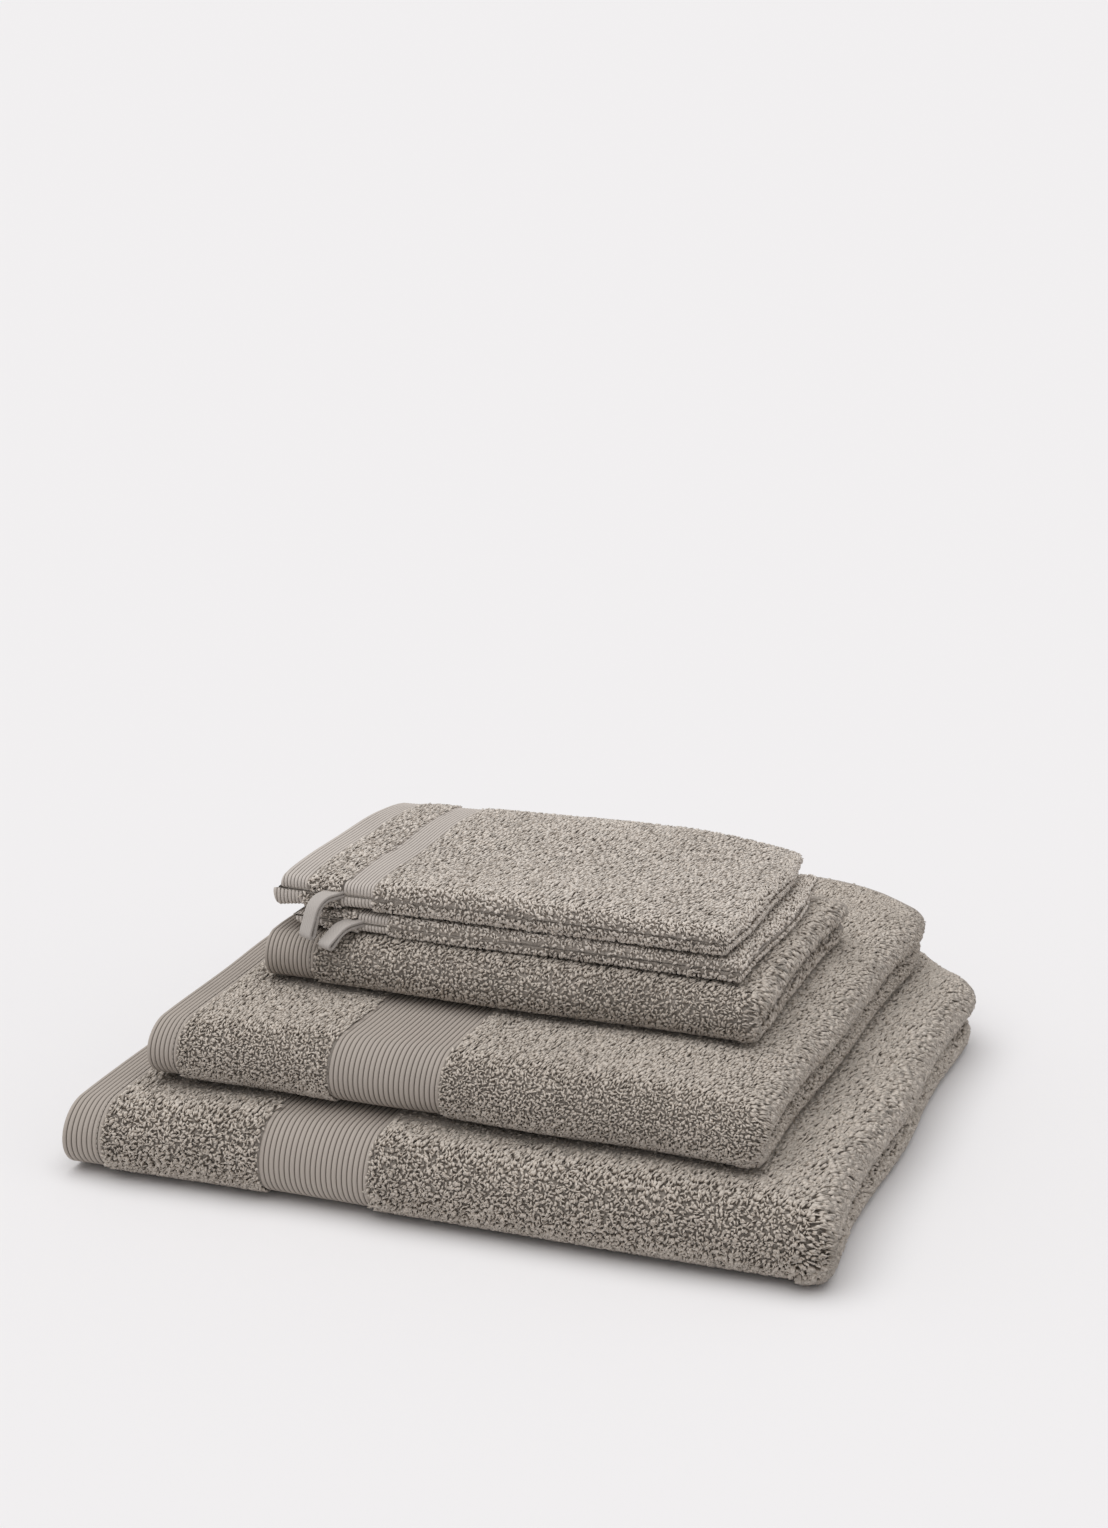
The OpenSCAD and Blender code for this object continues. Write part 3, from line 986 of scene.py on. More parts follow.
@dataclass
class FoldedTowel:
    """A towel folded crosswise and then lengthwise, with all that is woven or sewn on it."""

    name: str
    layers: int
    turn_deg: float
    hem: Band
    border: Band | None
    softness: Softness
    pile: PileMaker
    flat: tuple[float, float]
    rests_on: tuple[str, ...]
    cover: Block | None = None
    cover_rim: float = 7.0
    cover_raise: float = 0.7
    side_hem: float = 7.0
    end_steps: tuple[float, float] = (3.0, 7.0)
    lobe_step: float = 2.0
    leaf_gap: float = 0.5
    ground_deep: float = 1.5
    rooted: float = 0.3
    flush: float = 0.1
    band_deep: float = 1.1
    free_end: float = 1.4
    layer_gap: float = 0.5
    run_step: float = 9.0
    turn_step: float = 1.6
    hem_turn_step: float = 1.4
    stitch_pitch: float = 2.8
    stitch_height: float = 0.55
    stitch_sunk: float = 0.45
    corner_curl: float = 0.3
    block: Block = field(init=False)
    path: LeafPath = field(init=False)
    layer: float = field(init=False)

    def __post_init__(self) -> None:
        """Reads the room from the frame and lays the path of the cloth."""
        self.block = Block.around(self.name + "_", self.turn_deg)
        per_leaf = self.layers // 2
        self.layer = (self.block.height / 2 - self.leaf_gap) / per_leaf
        self.path = LeafPath(self.block.length, self.layer, per_leaf, self.end_steps)

    @property
    def straight(self) -> float:
        """Depth of the flat part behind the front fold."""
        return self.block.depth - self.block.height / 2

    @property
    def arc(self) -> float:
        """Length of the cloth round the front fold, at the skin."""
        return math.pi * self.block.height / 2

    @property
    def width(self) -> float:
        """Width of the cloth from its top back edge round to its bottom back edge."""
        return 2 * self.straight + self.arc

    def lift(self, s: Array, v: Array, rise: Array | float) -> Array:
        """Place of a point on the folded cloth, a rise above its outer face.

        Args:
            s: Along the cloth from the outer hem's end.
            v: Across the cloth from the top back edge.
            rise: Above the skin of the packet.

        Returns:
            Points in the frame, in metres.
        """
        x, deep = self.path.at(s, self.layer / 2 + rise)
        half = self.block.height / 2
        turned = np.clip((v - self.straight) / self.arc, 0, 1)
        behind = np.clip(self.straight - v, 0, None)
        under = np.clip(v - self.straight - self.arc, 0, None)
        radius = np.maximum(half - deep, 0.15)
        y = half - radius * np.sin(turned * math.pi) + behind + under
        z = half + radius * np.cos(turned * math.pi)
        x = x - self.lobe_step * smooth(turned) * smooth(x / self.block.length)
        local = self.softness.shaped(np.stack([x, y, z], -1), self.block)
        local[:, 2] = np.maximum(local[:, 2], 0.05)
        return self.block.place.to_frame(local)

    def columns(self, flat: float, folded: int, rim: float = 0.0) -> Array:
        """Lays stations across the cloth.

        Args:
            flat: Step where the cloth lies flat.
            folded: How many steps go round the front fold.
            rim: How far in from both back edges they start and end.

        Returns:
            The stations.
        """
        stops = (rim, self.straight, self.straight + self.arc, self.width - rim)
        return stations(stops, (flat, self.arc / folded, flat))

    def hidden(self, s: Array, v: Array) -> Array:
        """How far each point of the cloth lies under the piece on top.

        Args:
            s: Distance along the cloth.
            v: Distance across the cloth.

        Returns:
            0 where the cloth can be seen and 1 well under the piece on top.
        """
        if self.cover is None:
            return np.zeros_like(s)
        return self.cover.covers(self.lift(s, v, 0.0), self.cover_rim) * (v < self.straight)

    def cloth(self, start: float, end: float) -> Patch:
        """A stretch of bare terry ground.

        Args:
            start: Where it starts along the cloth.
            end: Where it ends.

        Returns:
            The closed patch.
        """
        edge = self.side_hem - 0.6
        rows = self.path.stops(start, end, self.run_step, self.turn_step)
        columns = self.columns(flat=7.5, folded=16, rim=edge)
        skin_end = self.path.marks[2]

        def face(s: Array, v: Array, side: int) -> Array:
            """Places on one face of the ground.

            Args:
                s: Along the cloth.
                v: Across the cloth.
                side: 1 for the outer face and -1 for the inner one.

            Returns:
                Points in the frame, in metres.
            """
            raised = self.ground_deep - self.cover_raise * self.hidden(s, v)
            deep = np.where(s < skin_end, raised, self.layer_gap)
            middle = (-self.layer + self.layer_gap - deep) / 2
            half = (self.layer - self.layer_gap - deep) / 2
            half = half * rounded(v - edge, 1.5) * rounded(self.width - edge - v, 1.5)
            return self.lift(s, v, middle + side * half)

        # The ground is painted darkish, as painted shade between the loops, with a little random
        # tint, and lighter where the piece on top hides it.
        return slab(
            rows, columns, lambda s, v: face(s, v, 1), lambda s, v: face(s, v, -1),
            lambda s, v: 0.45 + 0.1 * wander(s, v, 9, 5) + 0.5 * self.hidden(s, v),
        )

    def band(self, band: Band, open_start: bool, open_end: bool, flat: float = 9.0) -> Patch:
        """A ribbed band, thinned at the ends that lie free.

        Args:
            band: Where it is and what ribs it has.
            open_start: Whether its start is a free end.
            open_end: Whether its end is a free end.
            flat: Distance between stations where the cloth lies flat.

        Returns:
            The closed patch.
        """
        columns = self.columns(flat, folded=20, rim=self.side_hem - 0.3)

        def face(s: Array, v: Array, side: int) -> Array:
            """Places on one face of the band.

            Args:
                s: Along the cloth.
                v: Across the cloth.
                side: 1 for the ribbed face and -1 for the inner one.

            Returns:
                Points in the frame, in metres.
            """
            thick = np.ones_like(s)
            if open_start:
                thick = thick * rounded(s - band.start, self.free_end)
            if open_end:
                thick = thick * rounded(band.end - s, self.free_end)
            low, high = -self.layer + self.layer_gap, -self.band_deep - band.rib_height
            half = (high - low) / 2 * thick
            ribs = band.rib_height * band.share(s) if side > 0 else 0
            return self.lift(s, v, (high + low) / 2 + side * half + ribs)

        # Painted shade: the bands are painted darker in the grooves between the ribs.
        return slab(
            band.rows(), columns, lambda s, v: face(s, v, 1), lambda s, v: face(s, v, -1),
            lambda s, v: smooth((band.share(s) - 0.25) / 0.5),
        )

    def selvedge(self, v_start: float, v_end: float) -> Patch:
        """The narrow side hem along one long edge, through all folds.

        Args:
            v_start: Where it starts across the cloth.
            v_end: Where it ends.

        Returns:
            The closed patch.
        """
        rows = self.path.stops(0, self.path.total, self.run_step, self.hem_turn_step)
        columns = np.linspace(v_start, v_end, 9)

        def face(s: Array, v: Array, side: int) -> Array:
            """Places on one face of the hem.

            Args:
                s: Along the cloth.
                v: Across the cloth.
                side: 1 for the outer face and -1 for the inner one.

            Returns:
                Points in the frame, in metres.
            """
            round_end, round_side, thinner, deeper = 1.5, 1.2, 0.75, 0.2
            ends = rounded(s, round_end) * rounded(self.path.total - s, round_end)
            half = (self.layer / 2 - thinner) * ends
            half = half * rounded(v - v_start, round_side) * rounded(v_end - v, round_side)
            return self.lift(s, v, -self.layer / 2 - deeper + side * half)

        return slab(rows, columns, lambda s, v: face(s, v, 1), lambda s, v: face(s, v, -1))

    def stitching(self, tuft: Tuft) -> Patch:
        """The row of stitches along the inner edge of the outer hem.

        Args:
            tuft: The arch of thread, modelled along s.

        Returns:
            All stitches as one patch.
        """
        seen_under = 20  # how far the row runs on below the packet
        v_end = self.straight + self.arc + seen_under
        v = np.arange(self.side_hem + 2, v_end, self.stitch_pitch)
        s = np.full(len(v), self.hem.end - self.hem.width / self.hem.ribs)
        draw = np.random.default_rng(3)

        def lift(s: Array, v: Array, rise: Array) -> Array:
            """Places a rise above the foot of the stitches."""
            return self.lift(s, v, rise - self.band_deep - self.stitch_sunk)

        # A mirror image with s and v exchanged lies along the seam.
        along = Tuft(tuft.verts[:, [1, 0, 2]], tuft.quads[:, ::-1], tuft.tris[:, ::-1])
        height = np.full(len(v), self.stitch_height)
        return along.planted(s, v, height, lift, draw, lean=0.0, scatter=0.05)

    def pile_pieces(self) -> list[bpy.types.Object]:
        """The looped pile on all terry that can be seen on a closed packet.

        Returns:
            The pile's pieces.
        """
        under_front, before_lobe = 8, 6  # how far the pile runs on out of sight
        back, front = self.side_hem - 0.5, self.straight + self.arc + under_front
        skin_end = self.path.marks[2]
        stretches = [(self.border.end, skin_end)] if self.border else [(self.hem.end, skin_end)]
        if self.border:
            stretches.append((self.hem.end, self.border.start))
        spots = [self.pile.spots(stretch, (back, front)) for stretch in stretches]
        lobe = self.path.marks[1] - before_lobe
        spots.append(self.pile.spots((lobe, skin_end), (front, self.width - back)))
        both = np.concatenate(spots)
        draw = np.random.default_rng(self.pile.seed + 7)
        tall = self.pile.heights(draw, len(both))
        round_end = smooth((both[:, 0] - lobe) / 4)
        crease = smooth((both[:, 0] - skin_end + self.layer) / self.layer)
        past_front = both[:, 1] - self.straight - 0.6 * self.arc
        curly = np.clip(1 - np.abs(past_front) / self.arc, 0, 1)
        tall = tall * (1 - 0.5 * crease) + self.corner_curl * round_end * curly * (1 - crease)
        under = smooth(past_front / (0.4 * self.arc))
        below = self.ground_deep - self.flush
        tall = tall + (np.minimum(tall, below) - tall) * under * (both[:, 0] < lobe + 4)
        hidden = self.hidden(both[:, 0], both[:, 1])
        keep = draw.uniform(0, 1, len(both)) > self.pile.thinning * hidden
        tall = tall + (np.minimum(tall, below) - tall) * hidden
        both, tall = both[keep], tall[keep]

        def lift(s: Array, v: Array, rise: Array) -> Array:
            """Places a rise above the feet of the pile, which stand in the ground."""
            return self.lift(s, v, rise - self.ground_deep - self.rooted)

        lying = 1 - smooth((both[:, 1] - self.straight) / (0.35 * self.arc))
        name = self.name + "_pile"
        return self.pile.pieces(name, both, tall + self.rooted, lift, lying, PILE)

    def build(self, stitch: Tuft) -> None:
        """Makes every piece of the towel and enters it.

        Args:
            stitch: The arch of thread that the stitches are copied from.
        """
        name = self.name
        inner_end = self.path.total - self.hem.width
        inner = Band(inner_end, self.hem.width, self.hem.ribs)
        ground = self.cloth(self.border.end if self.border else self.hem.end, inner_end)
        if self.border:
            ground = ground + self.cloth(self.hem.end, self.border.start)
        cloth = enter(
            ground.mesh_object(name + "_terry", PAINTED_SHADE_GROUND), name, "terry", name + "_cloth"
        )
        bands = [
            ("_outer_hem", self.band(self.hem, open_start=True, open_end=False)),
            ("_inner_hem", self.band(inner, open_start=False, open_end=True, flat=14)),
        ]
        if self.border:
            bands.append(("_border", self.band(self.border, open_start=False, open_end=False)))
        parts = [
            enter(
                band.mesh_object(f"{name}{label}.ribs", RIBBED), name, "ribbed_band", name + label
            )
            for label, band in bands
        ]
        edges = self.selvedge(0, self.side_hem)
        edges = edges + self.selvedge(self.width - self.side_hem, self.width)
        side_hems = edges.mesh_object(name + "_side_hems.sewn", HEMMED)
        parts.append(enter(side_hems, name, "side_hem", name + "_side_hems"))
        stitches = self.stitching(stitch).mesh_object(name + "_stitches", THREAD)
        parts.append(enter(stitches, name, "thread", name + "_stitching"))
        for piece in self.pile_pieces():
            parts.append(enter(piece, name, "terry"))
        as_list(self.rests_on)


# ---- Wash mitts ----


@dataclass
class Mitt:
    """A wash mitt: two terry panels sewn together on three sides, lying flat."""

    name: str
    turn_deg: float
    cuff: Band
    border: Band
    softness: Softness
    pile: PileMaker
    loop: "HangingLoop"
    rests_on: tuple[str, ...]
    cover: Block | None = None
    cover_rim: float = 7.0
    cover_raise: float = 0.5
    pocket: float = 1.0
    crown: float = 0.4
    ground_deep: float = 1.2
    rooted: float = 0.2
    flush: float = 0.1
    band_deep: float = 0.7
    tuck: float = math.radians(38)
    tuck_fade: float = 40.0
    end_reach: float = 60.0
    bottom_shift: float = 0.0
    end_droop: float = 0.0
    end_lift: float = 0.0
    end_round: float = 0.3
    edge_tufts: float = 0.35
    seam_inset: float = 2.6
    seam_width: float = 6.0
    flat_step: float = 5.0
    strip_step: float = 4.0
    bend_steps: int = 9
    block: Block = field(init=False)

    def __post_init__(self) -> None:
        """Reads the room from the frame."""
        self.block = Block.around(self.name + "_", self.turn_deg)

    @property
    def edge(self) -> float:
        """Radius of each panel's rolled edge along the seams."""
        return (self.block.height - self.pocket) / 2 / (1 + math.sin(self.tuck))

    @property
    def bend(self) -> float:
        """Length of the skin round a rolled edge, from the seam to the flat top."""
        return self.edge * (math.pi / 2 + self.tuck)

    @property
    def length(self) -> float:
        """Length of a panel's skin from its open end to the seam at its closed end."""
        return self.block.length - self.edge + self.bend

    @property
    def width(self) -> float:
        """Width of a panel's skin from the back seam to the front seam."""
        return self.block.depth - 2 * self.edge + 2 * self.bend

    def _roll(self, along: Array, tuck: Array | float) -> tuple[Array, Array, Array]:
        """Where the skin is at a distance from a seam.

        Args:
            along: Distance over the skin from the seam.
            tuck: How far the edge rolls in under itself, as an angle.

        Returns:
            How far in from the outline it is, the slope there as an angle, and how high it
            is as a share of the panel.
        """
        angle = np.clip(along / self.bend, 0, 1) * (math.pi / 2 + tuck) - tuck
        inwards = self.edge * (1 - np.cos(angle)) + np.clip(along - self.bend, 0, None)
        return inwards, angle, (np.sin(angle) + np.sin(tuck)) / (1 + np.sin(tuck))

    def _point(
        self, side: int, p: Array, q: Array, rise: Array | float, thick: Array | float
    ) -> Array:
        """Local points of a panel, at a share of its thickness.

        Args:
            side: 1 for the top panel and -1 for the bottom one.
            p: Along the skin from the open end.
            q: Across the skin from the back seam.
            rise: Above the skin.
            thick: 1 for the skin and 0 for the lining.

        Returns:
            Places in the mitt's own frame.
        """
        tuck = self.tuck * (1 - smooth((p - self.border.start) / self.tuck_fade))
        from_back, back, high_back = self._roll(q, tuck)
        from_front, front, high_front = self._roll(self.width - q, tuck)
        from_close, close, high_close = self._roll(self.length - p, 0.0)
        y = np.where(q < self.width / 2, self.block.depth - from_back, from_front)
        x = self.block.length - from_close
        swell = np.minimum.reduce([high_back, high_front, high_close])
        never_flat = 0.02  # keeps the way out from having no length
        out = np.stack([
            np.cos(close), np.cos(back) - np.cos(front),
            np.minimum.reduce([np.sin(back), np.sin(front), np.sin(close)]) + never_flat,
        ], -1)
        out /= np.linalg.norm(out, axis=1, keepdims=True)
        tall = (self.block.height - self.pocket) / 2
        puff = self.crown * np.sin(math.pi * np.clip(q / self.width, 0, 1))
        near = np.minimum.reduce([q, self.width - q, self.length - p])
        gap = self.pocket / 2 * (0.25 + 0.75 * smooth((near - self.bend) / 8))
        open_end = np.clip(1 - p / self.end_reach, 0, 1)
        if side < 0:
            x = x - self.bottom_shift * open_end
        if side > 0:
            fuller = self.end_lift * open_end**3
        else:
            fuller = self.end_droop * open_end**3
        z = gap + thick * ((tall + fuller) * swell + puff) + rise * out[:, 2]
        return np.stack([
            x + rise * out[:, 0], y + rise * out[:, 1], self.block.height / 2 + side * z
        ], -1)

    def skin(self, side: int, p: Array, q: Array, rise: Array | float) -> Array:
        """Place in the frame of a point on a panel's skin, a rise above it."""
        return self._placed(self._point(side, p, q, rise, 1.0))

    def lining(self, side: int, p: Array, q: Array) -> Array:
        """Places of points on the inner face of a panel.

        Args:
            side: 1 for the top panel and -1 for the bottom one.
            p: Along the skin from the open end.
            q: Across the skin from the back seam.

        Returns:
            Points in the frame, in metres.
        """
        local = self._point(side, p, q, 0.0, self.end_round * (1 - rounded(p, 3.0)))
        middle = np.array([0, self.block.depth / 2, 0])
        deep = self.ground_deep + self.rooted
        shrink = np.array([0, 1 - 2 * deep / self.block.depth, 1])
        local = (local - middle) * shrink + middle
        local[:, 0] -= deep * np.clip(1 - (self.length - p) / self.bend, 0, 1)
        return self._placed(local)

    def _placed(self, local: Array) -> Array:
        """Local points, softened and put in the frame."""
        soft = self.softness.shaped(local, self.block)
        return self.block.place.to_frame(soft)

    def columns(self, flat: float) -> Array:
        """Lays stations across a panel's skin.

        Args:
            flat: Step where the panel lies flat.

        Returns:
            The stations.
        """
        stops = (0, self.bend, self.width - self.bend, self.width)
        turn = self.bend / self.bend_steps
        return stations(stops, (turn, flat, turn))

    def hidden(self, side: int, p: Array, q: Array) -> Array:
        """How far each point of a panel lies under the piece on top.

        Args:
            side: 1 for the top panel and -1 for the bottom one.
            p: Along the skin from the open end.
            q: Across the skin from the back seam.

        Returns:
            0 where the panel can be seen and 1 well under the piece on top.
        """
        if self.cover is None or side < 0:
            return np.zeros_like(p)
        return self.cover.covers(self.skin(side, p, q, 0.0), self.cover_rim)

    def ground(self, side: int, start: float, end: float, closed: bool) -> Patch:
        """A stretch of a panel's bare terry ground.

        Args:
            side: 1 for the top panel and -1 for the bottom one.
            start: Where it starts.
            end: Where it ends.
            closed: Whether it runs up to the seam at the closed end.

        Returns:
            The closed patch.
        """
        if closed:
            stops = (start, self.length - self.bend, self.length)
            rows = stations(stops, (self.flat_step, self.bend / self.bend_steps))
        else:
            rows = stations((start, end), (self.strip_step,))
        # The ground is painted darkish, as painted shade between the loops, with a little random
        # tint, and lighter where the piece on top hides it.
        return slab(
            rows, self.columns(self.flat_step),
            lambda p, q: self.skin(
                side, p, q, self.cover_raise * self.hidden(side, p, q) - self.ground_deep
            ),
            lambda p, q: self.lining(side, p, q),
            lambda p, q: 0.6 + 0.1 * wander(p, q, 9, 6) + 0.4 * self.hidden(side, p, q),
        )

    def ribbed(self, side: int, band: Band) -> Patch:
        """A ribbed band of one panel, through its whole thickness.

        Args:
            side: 1 for the top panel and -1 for the bottom one.
            band: Where it is and what ribs it has.

        Returns:
            The closed patch.
        """
        def face(p: Array, q: Array) -> Array:
            """Places on the ribbed face.

            Args:
                p: Along the skin from the open end.
                q: Across the skin from the back seam.

            Returns:
                Points in the frame, in metres.
            """
            ribs = band.rib_height * (band.share(p) - 1)
            thick = 0.45 + 0.55 * rounded(p, 2.5) if band.start == 0 else 1.0
            return self._placed(self._point(side, p, q, ribs - self.band_deep, thick))

        # Painted shade: the bands are painted darker in the grooves between the ribs.
        return slab(
            band.rows(), self.columns(6.0), face, lambda p, q: self.lining(side, p, q),
            lambda p, q: smooth((band.share(p) - 0.25) / 0.5),
        )

    def pile_for(self, side: int) -> list[bpy.types.Object]:
        """The looped pile of one panel.

        Args:
            side: 1 for the top panel and -1 for the bottom one.

        Returns:
            The pile's pieces.
        """
        rim = 0.6
        stretches = ((self.cuff.end, self.border.start), (self.border.end, self.length - rim))
        both = np.concatenate(
            [self.pile.spots(stretch, (rim, self.width - rim)) for stretch in stretches]
        )
        draw = np.random.default_rng(self.pile.seed + 11 + side)
        tall = self.pile.heights(draw, len(both))
        near = np.minimum(both[:, 1], self.width - both[:, 1])
        near = np.minimum(near, self.length - both[:, 0])
        below = self.ground_deep - self.flush
        tall = tall * (1 + self.edge_tufts * (1 - smooth(near / self.bend)))
        if side < 0:
            keep = (near < self.bend + 8) | (both[:, 0] < self.border.start)
            pressed = smooth((near - 0.75 * self.bend) / self.edge)
            tall = tall + (np.minimum(tall, below) - tall) * pressed
            both, tall = both[keep], tall[keep]
        else:
            hidden = self.hidden(side, both[:, 0], both[:, 1])
            keep = draw.uniform(0, 1, len(both)) > self.pile.thinning * hidden
            tall = tall + (np.minimum(tall, below) - tall) * hidden
            both, tall = both[keep], tall[keep]

        def lift(p: Array, q: Array, rise: Array) -> Array:
            """Places a rise above the feet of the pile, which stand in the ground."""
            return self.skin(side, p, q, rise - self.ground_deep - self.rooted)

        label = "top" if side > 0 else "bottom"
        lying = smooth(np.minimum(self.width - both[:, 1], self.length - both[:, 0]) / 8 - 0.5)
        return self.pile.pieces(
            f"{self.name}_{label}_pile", both, tall + self.rooted, lift, lying, FINE_PILE
        )

    def seam(self) -> Patch:
        """The seam allowance between the panels, on the three sewn sides.

        Returns:
            The closed patch.
        """
        inset, wide = self.seam_inset, self.seam_width
        length, depth = self.block.length, self.block.depth
        ring = [(0.0, inset), (length - inset, inset), (length - inset, depth - inset),
                (0.0, depth - inset)]
        inner = [(0.0, inset + wide), (length - inset - wide, inset + wide),
                 (length - inset - wide, depth - inset - wide), (0.0, depth - inset - wide)]
        stops = np.array([0.0, 1.0, 2.0, 3.0])

        def face(t: Array, w: Array, side: int) -> Array:
            """Places on one face of the allowance.

            Args:
                t: Round the seam, from 0 at the open end's front to 3 at its back.
                w: Across it, from 0 outside to 1 inside.
                side: 1 for the upper face and -1 for the lower one.

            Returns:
                Points in the frame, in metres.
            """
            both = [
                np.interp(t, stops, [line[k] for line in ring]) * (1 - w)
                + np.interp(t, stops, [line[k] for line in inner]) * w
                for k in (0, 1)
            ]
            z = self.block.height / 2 + side * self.pocket / 9 + 0 * t
            return self._placed(np.stack([*both, z], -1))

        rows = stations((0, 1, 2, 3), (0.03, 0.05, 0.03))
        patch = slab(
            rows, np.linspace(0, 1, 4), lambda t, w: face(t, w, 1), lambda t, w: face(t, w, -1)
        )
        patch.weave = patch.weave * [self.block.length, self.seam_width]
        return patch

    def build(self) -> None:
        """Makes every piece of the mitt and its loop, and enters all of them but the loop."""
        name = self.name
        tape = self.loop.build()
        for side, label in ((1, "top"), (-1, "bottom")):
            panel = self.ground(side, self.cuff.end, self.border.start, False)
            panel = panel + self.ground(side, self.border.end, self.length, True)
            cloth = enter(
                panel.mesh_object(f"{name}_{label}_terry", PAINTED_SHADE_GROUND), name, "terry",
                f"{name}_{label}_panel",
            )
            parts = []
            for kind, band in (("cuff", self.cuff), ("border", self.border)):
                node = f"{name}_{label}_{kind}"
                ribs = self.ribbed(side, band).mesh_object(node + ".ribs", FINE_RIBBED)
                parts.append(enter(ribs, name, "ribbed_band", node))
            parts += [enter(piece, name, "terry") for piece in self.pile_for(side)]
            if side > 0:
                parts.append(tape)
            flat = (self.block.depth * MM, self.block.length * MM)
            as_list(self.rests_on)
        seam = self.seam().mesh_object(name + "_seam.sewn", HEMMED)
        enter(seam, name, "side_hem", name + "_seam")


@dataclass
class HangingLoop:
    """A loop of tape, folded double, that leaves a mitt's front seam and droops."""

    name: str
    mitt: str
    joint: str
    bend: float
    droop_deg: float
    tail: float
    width: float = 8.0
    thick: float = 1.5
    apart: float = 1.7
    inside: float = 7.5
    blend_room: float = 2.6
    eye: float = 1.5
    open_turn: float = 0.35
    samples: int = 90

    def side_view(self) -> Array:
        """Lays the tape's middle line, seen from the side: out, round its end and back.

        Returns:
            Points in millimetres, ahead of the root and above it.
        """
        droop, half = math.radians(self.droop_deg), self.apart / 2
        centre = np.array([0, -self.bend])
        angle = np.linspace(0, droop, 15)
        around = np.stack([np.sin(angle), np.cos(angle)], -1)
        ahead = np.array([math.cos(droop), -math.sin(droop)])
        normal = np.array([math.sin(droop), math.cos(droop)])
        end = centre + self.bend * normal + self.tail * ahead
        turn = np.linspace(self.open_turn, math.pi - self.open_turn, 11)
        tip = end + self.eye * (np.sin(turn)[:, None] * ahead + np.cos(turn)[:, None] * normal)
        out = [[-self.inside, half], [-self.inside / 2, half]]
        back = [[-self.inside / 2, -half], [-self.inside, -half]]
        return np.concatenate([
            out, centre + (self.bend + half) * around, tip,
            centre + (self.bend - half) * around[::-1], back,
        ])

    def build(self) -> bpy.types.Object:
        """Returns:
            The tape.
        """
        joint = next(j for j in frame["joints"] if j["name"] == self.joint)
        root, axis = Vector(joint["pos_m"]), Vector(joint["axis"]).normalized()
        ahead = axis.cross(Vector((0, 0, 1))).normalized()
        if ahead.y > 0:
            ahead.negate()
        line = self.side_view()
        step = np.concatenate([[0], np.cumsum(np.linalg.norm(np.diff(line, axis=0), axis=1))])
        length = float(step[-1])
        rows = np.linspace(0, length, self.samples)
        middle = np.stack([np.interp(rows, step, line[:, k]) for k in (0, 1)], -1)
        for _ in range(3):
            middle[1:-1] = (middle[:-2] + 2 * middle[1:-1] + middle[2:]) / 4
        along = np.gradient(middle, axis=0)
        along /= np.linalg.norm(along, axis=1, keepdims=True)
        normal = np.stack([-along[:, 1], along[:, 0]], -1)

        def face(s: Array, w: Array, side: int) -> Array:
            """Places on one face of the tape.

            Args:
                s: Along the tape.
                w: Across it, from its middle.
                side: 1 for the outer face and -1 for the inner one.

            Returns:
                Points in the frame, in metres.
            """
            spot = [np.interp(s, rows, middle[:, k]) for k in (0, 1)]
            out = [np.interp(s, rows, normal[:, k]) for k in (0, 1)]
            half = side * self.thick / 2 * rounded(self.width / 2 - np.abs(w), 0.7)
            a, c = spot[0] + half * out[0], spot[1] + half * out[1]
            offset = np.outer(a, ahead) + np.outer(c, (0, 0, 1)) + np.outer(w, axis)
            return np.array(root) + MM * offset

        across = np.array([-1, -0.96, -0.88, -0.7, -0.4, 0, 0.4, 0.7, 0.88, 0.96, 1])
        tape = slab(
            rows, across * self.width / 2, lambda s, w: face(s, w, 1), lambda s, w: face(s, w, -1),
            lambda s, w: 0.75 - 0.3 * (np.abs(w) > 0.9 * self.width / 2),
        ).mesh_object(self.name + "_tape", TAPE)
        start, end = (root + ahead * (k * self.blend_room * MM) for k in (-1, 1))
        tuple(start)
        tuple(end)
        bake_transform(tape)
        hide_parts(self.name)
        log.info("%s: %d faces, %.0f mm of tape", tape.name, len(tape.data.polygons), length)
        return tape


# ---- Studio ----


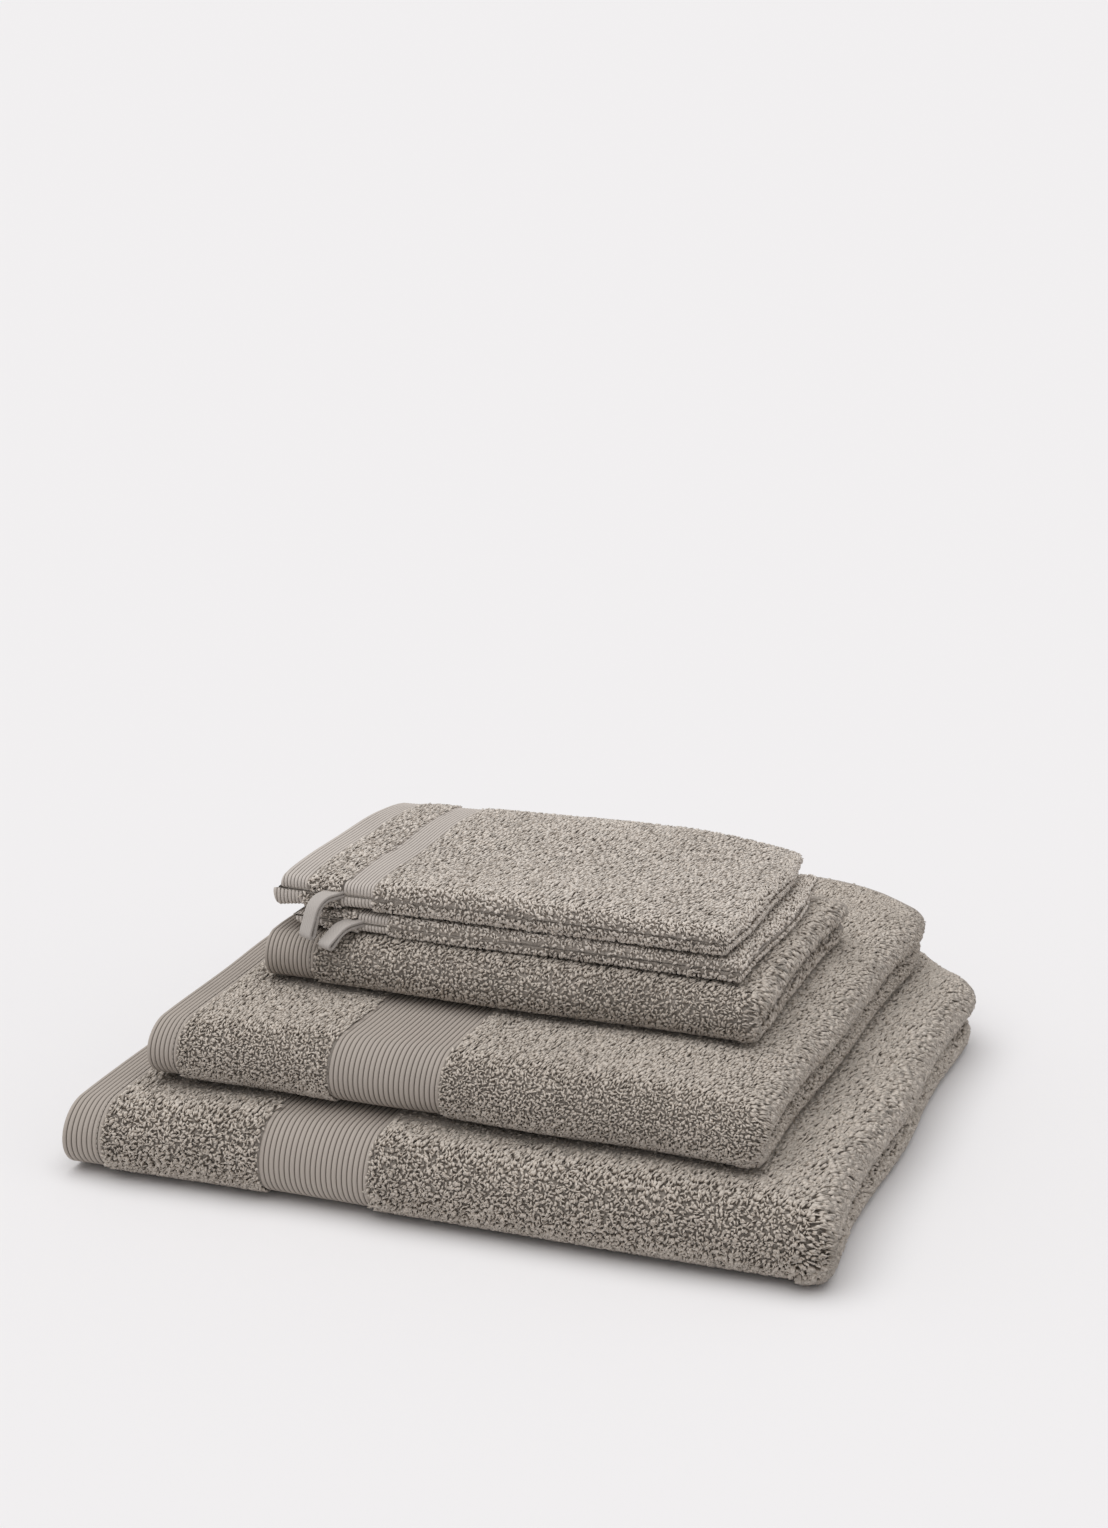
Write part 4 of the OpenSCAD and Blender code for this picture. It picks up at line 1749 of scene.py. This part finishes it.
@dataclass(frozen=True)
class Studio:
    """A pale floor, a soft key light from above and the camera."""

    floor_colour: Colour = (0.86, 0.85, 0.855)
    sky: float = 0.46
    sky_seen: float = 0.9
    sun: float = 1.8
    sun_spread_deg: float = 75
    sun_tilt: tuple[float, float, float] = (-0.12, -0.1, 1.0)
    camera_place: tuple[float, float, float] = (0.4191, -1.1455, 0.5156)
    pitch_deg: float = 16.166
    yaw_deg: float = 20.257
    lens: float = 64.73

    def build(self) -> None:
        """Makes the floor, the world, the light and the camera."""
        bpy.ops.object.select_all(action="DESELECT")
        bpy.ops.mesh.primitive_plane_add(size=120, location=(0, 0, 0))
        floor = bpy.context.object
        floor.name = "studio_floor"
        paint = bpy.data.materials.new("floor_paint")
        paint.use_nodes = True
        shader = paint.node_tree.nodes["Principled BSDF"]
        shader.inputs["Base Color"].default_value = (*self.floor_colour, 1)
        shader.inputs["Roughness"].default_value = 1.0
        shader.inputs["Specular IOR Level"].default_value = 0.0
        floor.data.materials.append(paint)
        self._world()
        light = bpy.data.lights.new("key_light", "SUN")
        light.energy = self.sun
        light.angle = math.radians(self.sun_spread_deg)
        lamp = bpy.data.objects.new("key_light", light)
        lamp.rotation_euler = Vector(self.sun_tilt).to_track_quat("Z", "Y").to_euler()
        bpy.context.scene.collection.objects.link(lamp)
        camera = bpy.data.objects.new("camera", bpy.data.cameras.new("camera"))
        camera.data.lens = self.lens
        camera.data.clip_end = 200
        camera.location = self.camera_place
        camera.rotation_euler = (
            math.radians(90 - self.pitch_deg), 0, math.radians(self.yaw_deg)
        )
        bpy.context.scene.collection.objects.link(camera)
        bpy.context.scene.camera = camera
        bpy.context.scene.view_settings.view_transform = "Standard"

    def _world(self) -> None:
        """A plain sky that lights softly and looks as pale as the floor."""
        world = bpy.data.worlds.new("studio")
        world.use_nodes = True
        bpy.context.scene.world = world
        tree = world.node_tree
        back = tree.nodes["Background"]
        back.inputs["Color"].default_value = (1, 0.985, 0.99, 1)
        path = tree.nodes.new("ShaderNodeLightPath")
        seen = tree.nodes.new("ShaderNodeMapRange")
        seen.inputs["To Min"].default_value = self.sky
        seen.inputs["To Max"].default_value = self.sky_seen
        tree.links.new(path.outputs["Is Camera Ray"], seen.inputs["Value"])
        tree.links.new(seen.outputs["Result"], back.inputs["Strength"])


def main() -> None:
    """Builds the studio, the towels from the bottom up, and the mitts with their loops."""
    logging.basicConfig(level=logging.INFO, format="%(name)s: %(message)s")
    Studio().build()
    loop = Tuft.modelled(reach=0.58, yarn=0.48)
    fine = Tuft.modelled(reach=0.54, yarn=0.46)
    stitch = Tuft.modelled(reach=1.15, yarn=0.28)
    cuff = Band(start=0, width=14, ribs=8, rib_height=0.8)
    mitt_border = Band(start=32, width=15, ribs=9, rib_height=0.8)
    upper = Mitt(
        name="upper_mitt", turn_deg=-0.5, cuff=cuff, border=mitt_border,
        softness=Softness(
            edges=(0.5, 1.0, 0.5, 1.0), reach=18, drops=(0, 0.5, 2.5, 3.5),
            pulls=(0, 0, 2.5, 4.0), seed=41, ripple=0.9, wave=0.8,
        ),
        pile=PileMaker(fine, spacing=1.35, height=1.7, lean=0.35, seed=500, comb=(1.3, -0.4)),
        loop=HangingLoop(
            "upper_mitt_loop", "upper_mitt", "upper_loop_swing", bend=9, droop_deg=72, tail=9.5
        ),
        rests_on=("lower_mitt_top_terry",), bottom_shift=4.0, end_droop=3.8, end_lift=0.8,
    )
    lower = Mitt(
        name="lower_mitt", turn_deg=-0.5, cuff=cuff, border=mitt_border,
        softness=Softness(
            reach=18, drops=(0, 0.5, 1.5, 2.0), pulls=(0, 0, 2.5, 4.0), seed=51, ripple=0.3,
            wave=0.8,
        ),
        pile=PileMaker(fine, spacing=1.5, height=1.6, lean=0.3, seed=600),
        loop=HangingLoop(
            "lower_mitt_loop", "lower_mitt", "lower_loop_swing", bend=12, droop_deg=38, tail=6
        ),
        rests_on=("guest_towel_terry",), cover=upper.block, end_lift=-3.0,
    )
    guest = FoldedTowel(
        name="guest_towel", layers=4, turn_deg=-0.5,
        hem=Band(start=0, width=25, ribs=12), border=None,
        softness=Softness(
            edges=(1.0, 2.0, 0.5, 2.0), reach=25, drops=(0, 1, 1, 2), seed=31, ripple=0.4
        ),
        pile=PileMaker(fine, spacing=1.5, height=2.0, lean=0.3, seed=400, comb=(0.8, -0.3)),
        flat=(0.30, 0.475), rests_on=("hand_towel_terry",), cover=lower.block,
    )
    hand = FoldedTowel(
        name="hand_towel", layers=8, turn_deg=-1.2,
        hem=Band(start=0, width=16, ribs=7), border=Band(start=90, width=52, ribs=22),
        softness=Softness(
            edges=(2.0, 5.0, 1.0, 2.0), reach=32, drops=(3, 3, 2, 6), pulls=(0, 0, 0, 6),
            seed=21, ripple=0.5,
        ),
        pile=PileMaker(
            fine, spacing=1.36, height=2.0, lean=0.25, seed=300, comb=(0.9, -0.4), jitter=0.25
        ),
        flat=(0.60, 1.15), rests_on=("bath_towel_terry",), cover=guest.block,
    )
    bath = FoldedTowel(
        name="bath_towel", layers=8, turn_deg=0.0,
        hem=Band(start=0, width=20, ribs=8), border=Band(start=95, width=52, ribs=21),
        softness=Softness(
            edges=(3.0, 3.0, 1.0, 2.0), reach=30, drops=(3, 2, 2, 5), pulls=(0, 0, 0, 16),
            seed=11, ripple=0.6,
        ),
        pile=PileMaker(loop, spacing=1.38, height=2.3, lean=0.35, seed=200, comb=(0.9, -0.6)),
        flat=(0.67, 1.39), rests_on=(), cover=hand.block, corner_curl=1.6,
    )
    for towel in (bath, hand, guest):
        towel.build(stitch)
    for mitt in (lower, upper):
        mitt.build()
    faces = sum(len(o.data.loop_triangles) for o in bpy.data.objects if o.type == "MESH")
    log.info("%d triangles in all", faces)


if __name__ == "__main__":
    main()
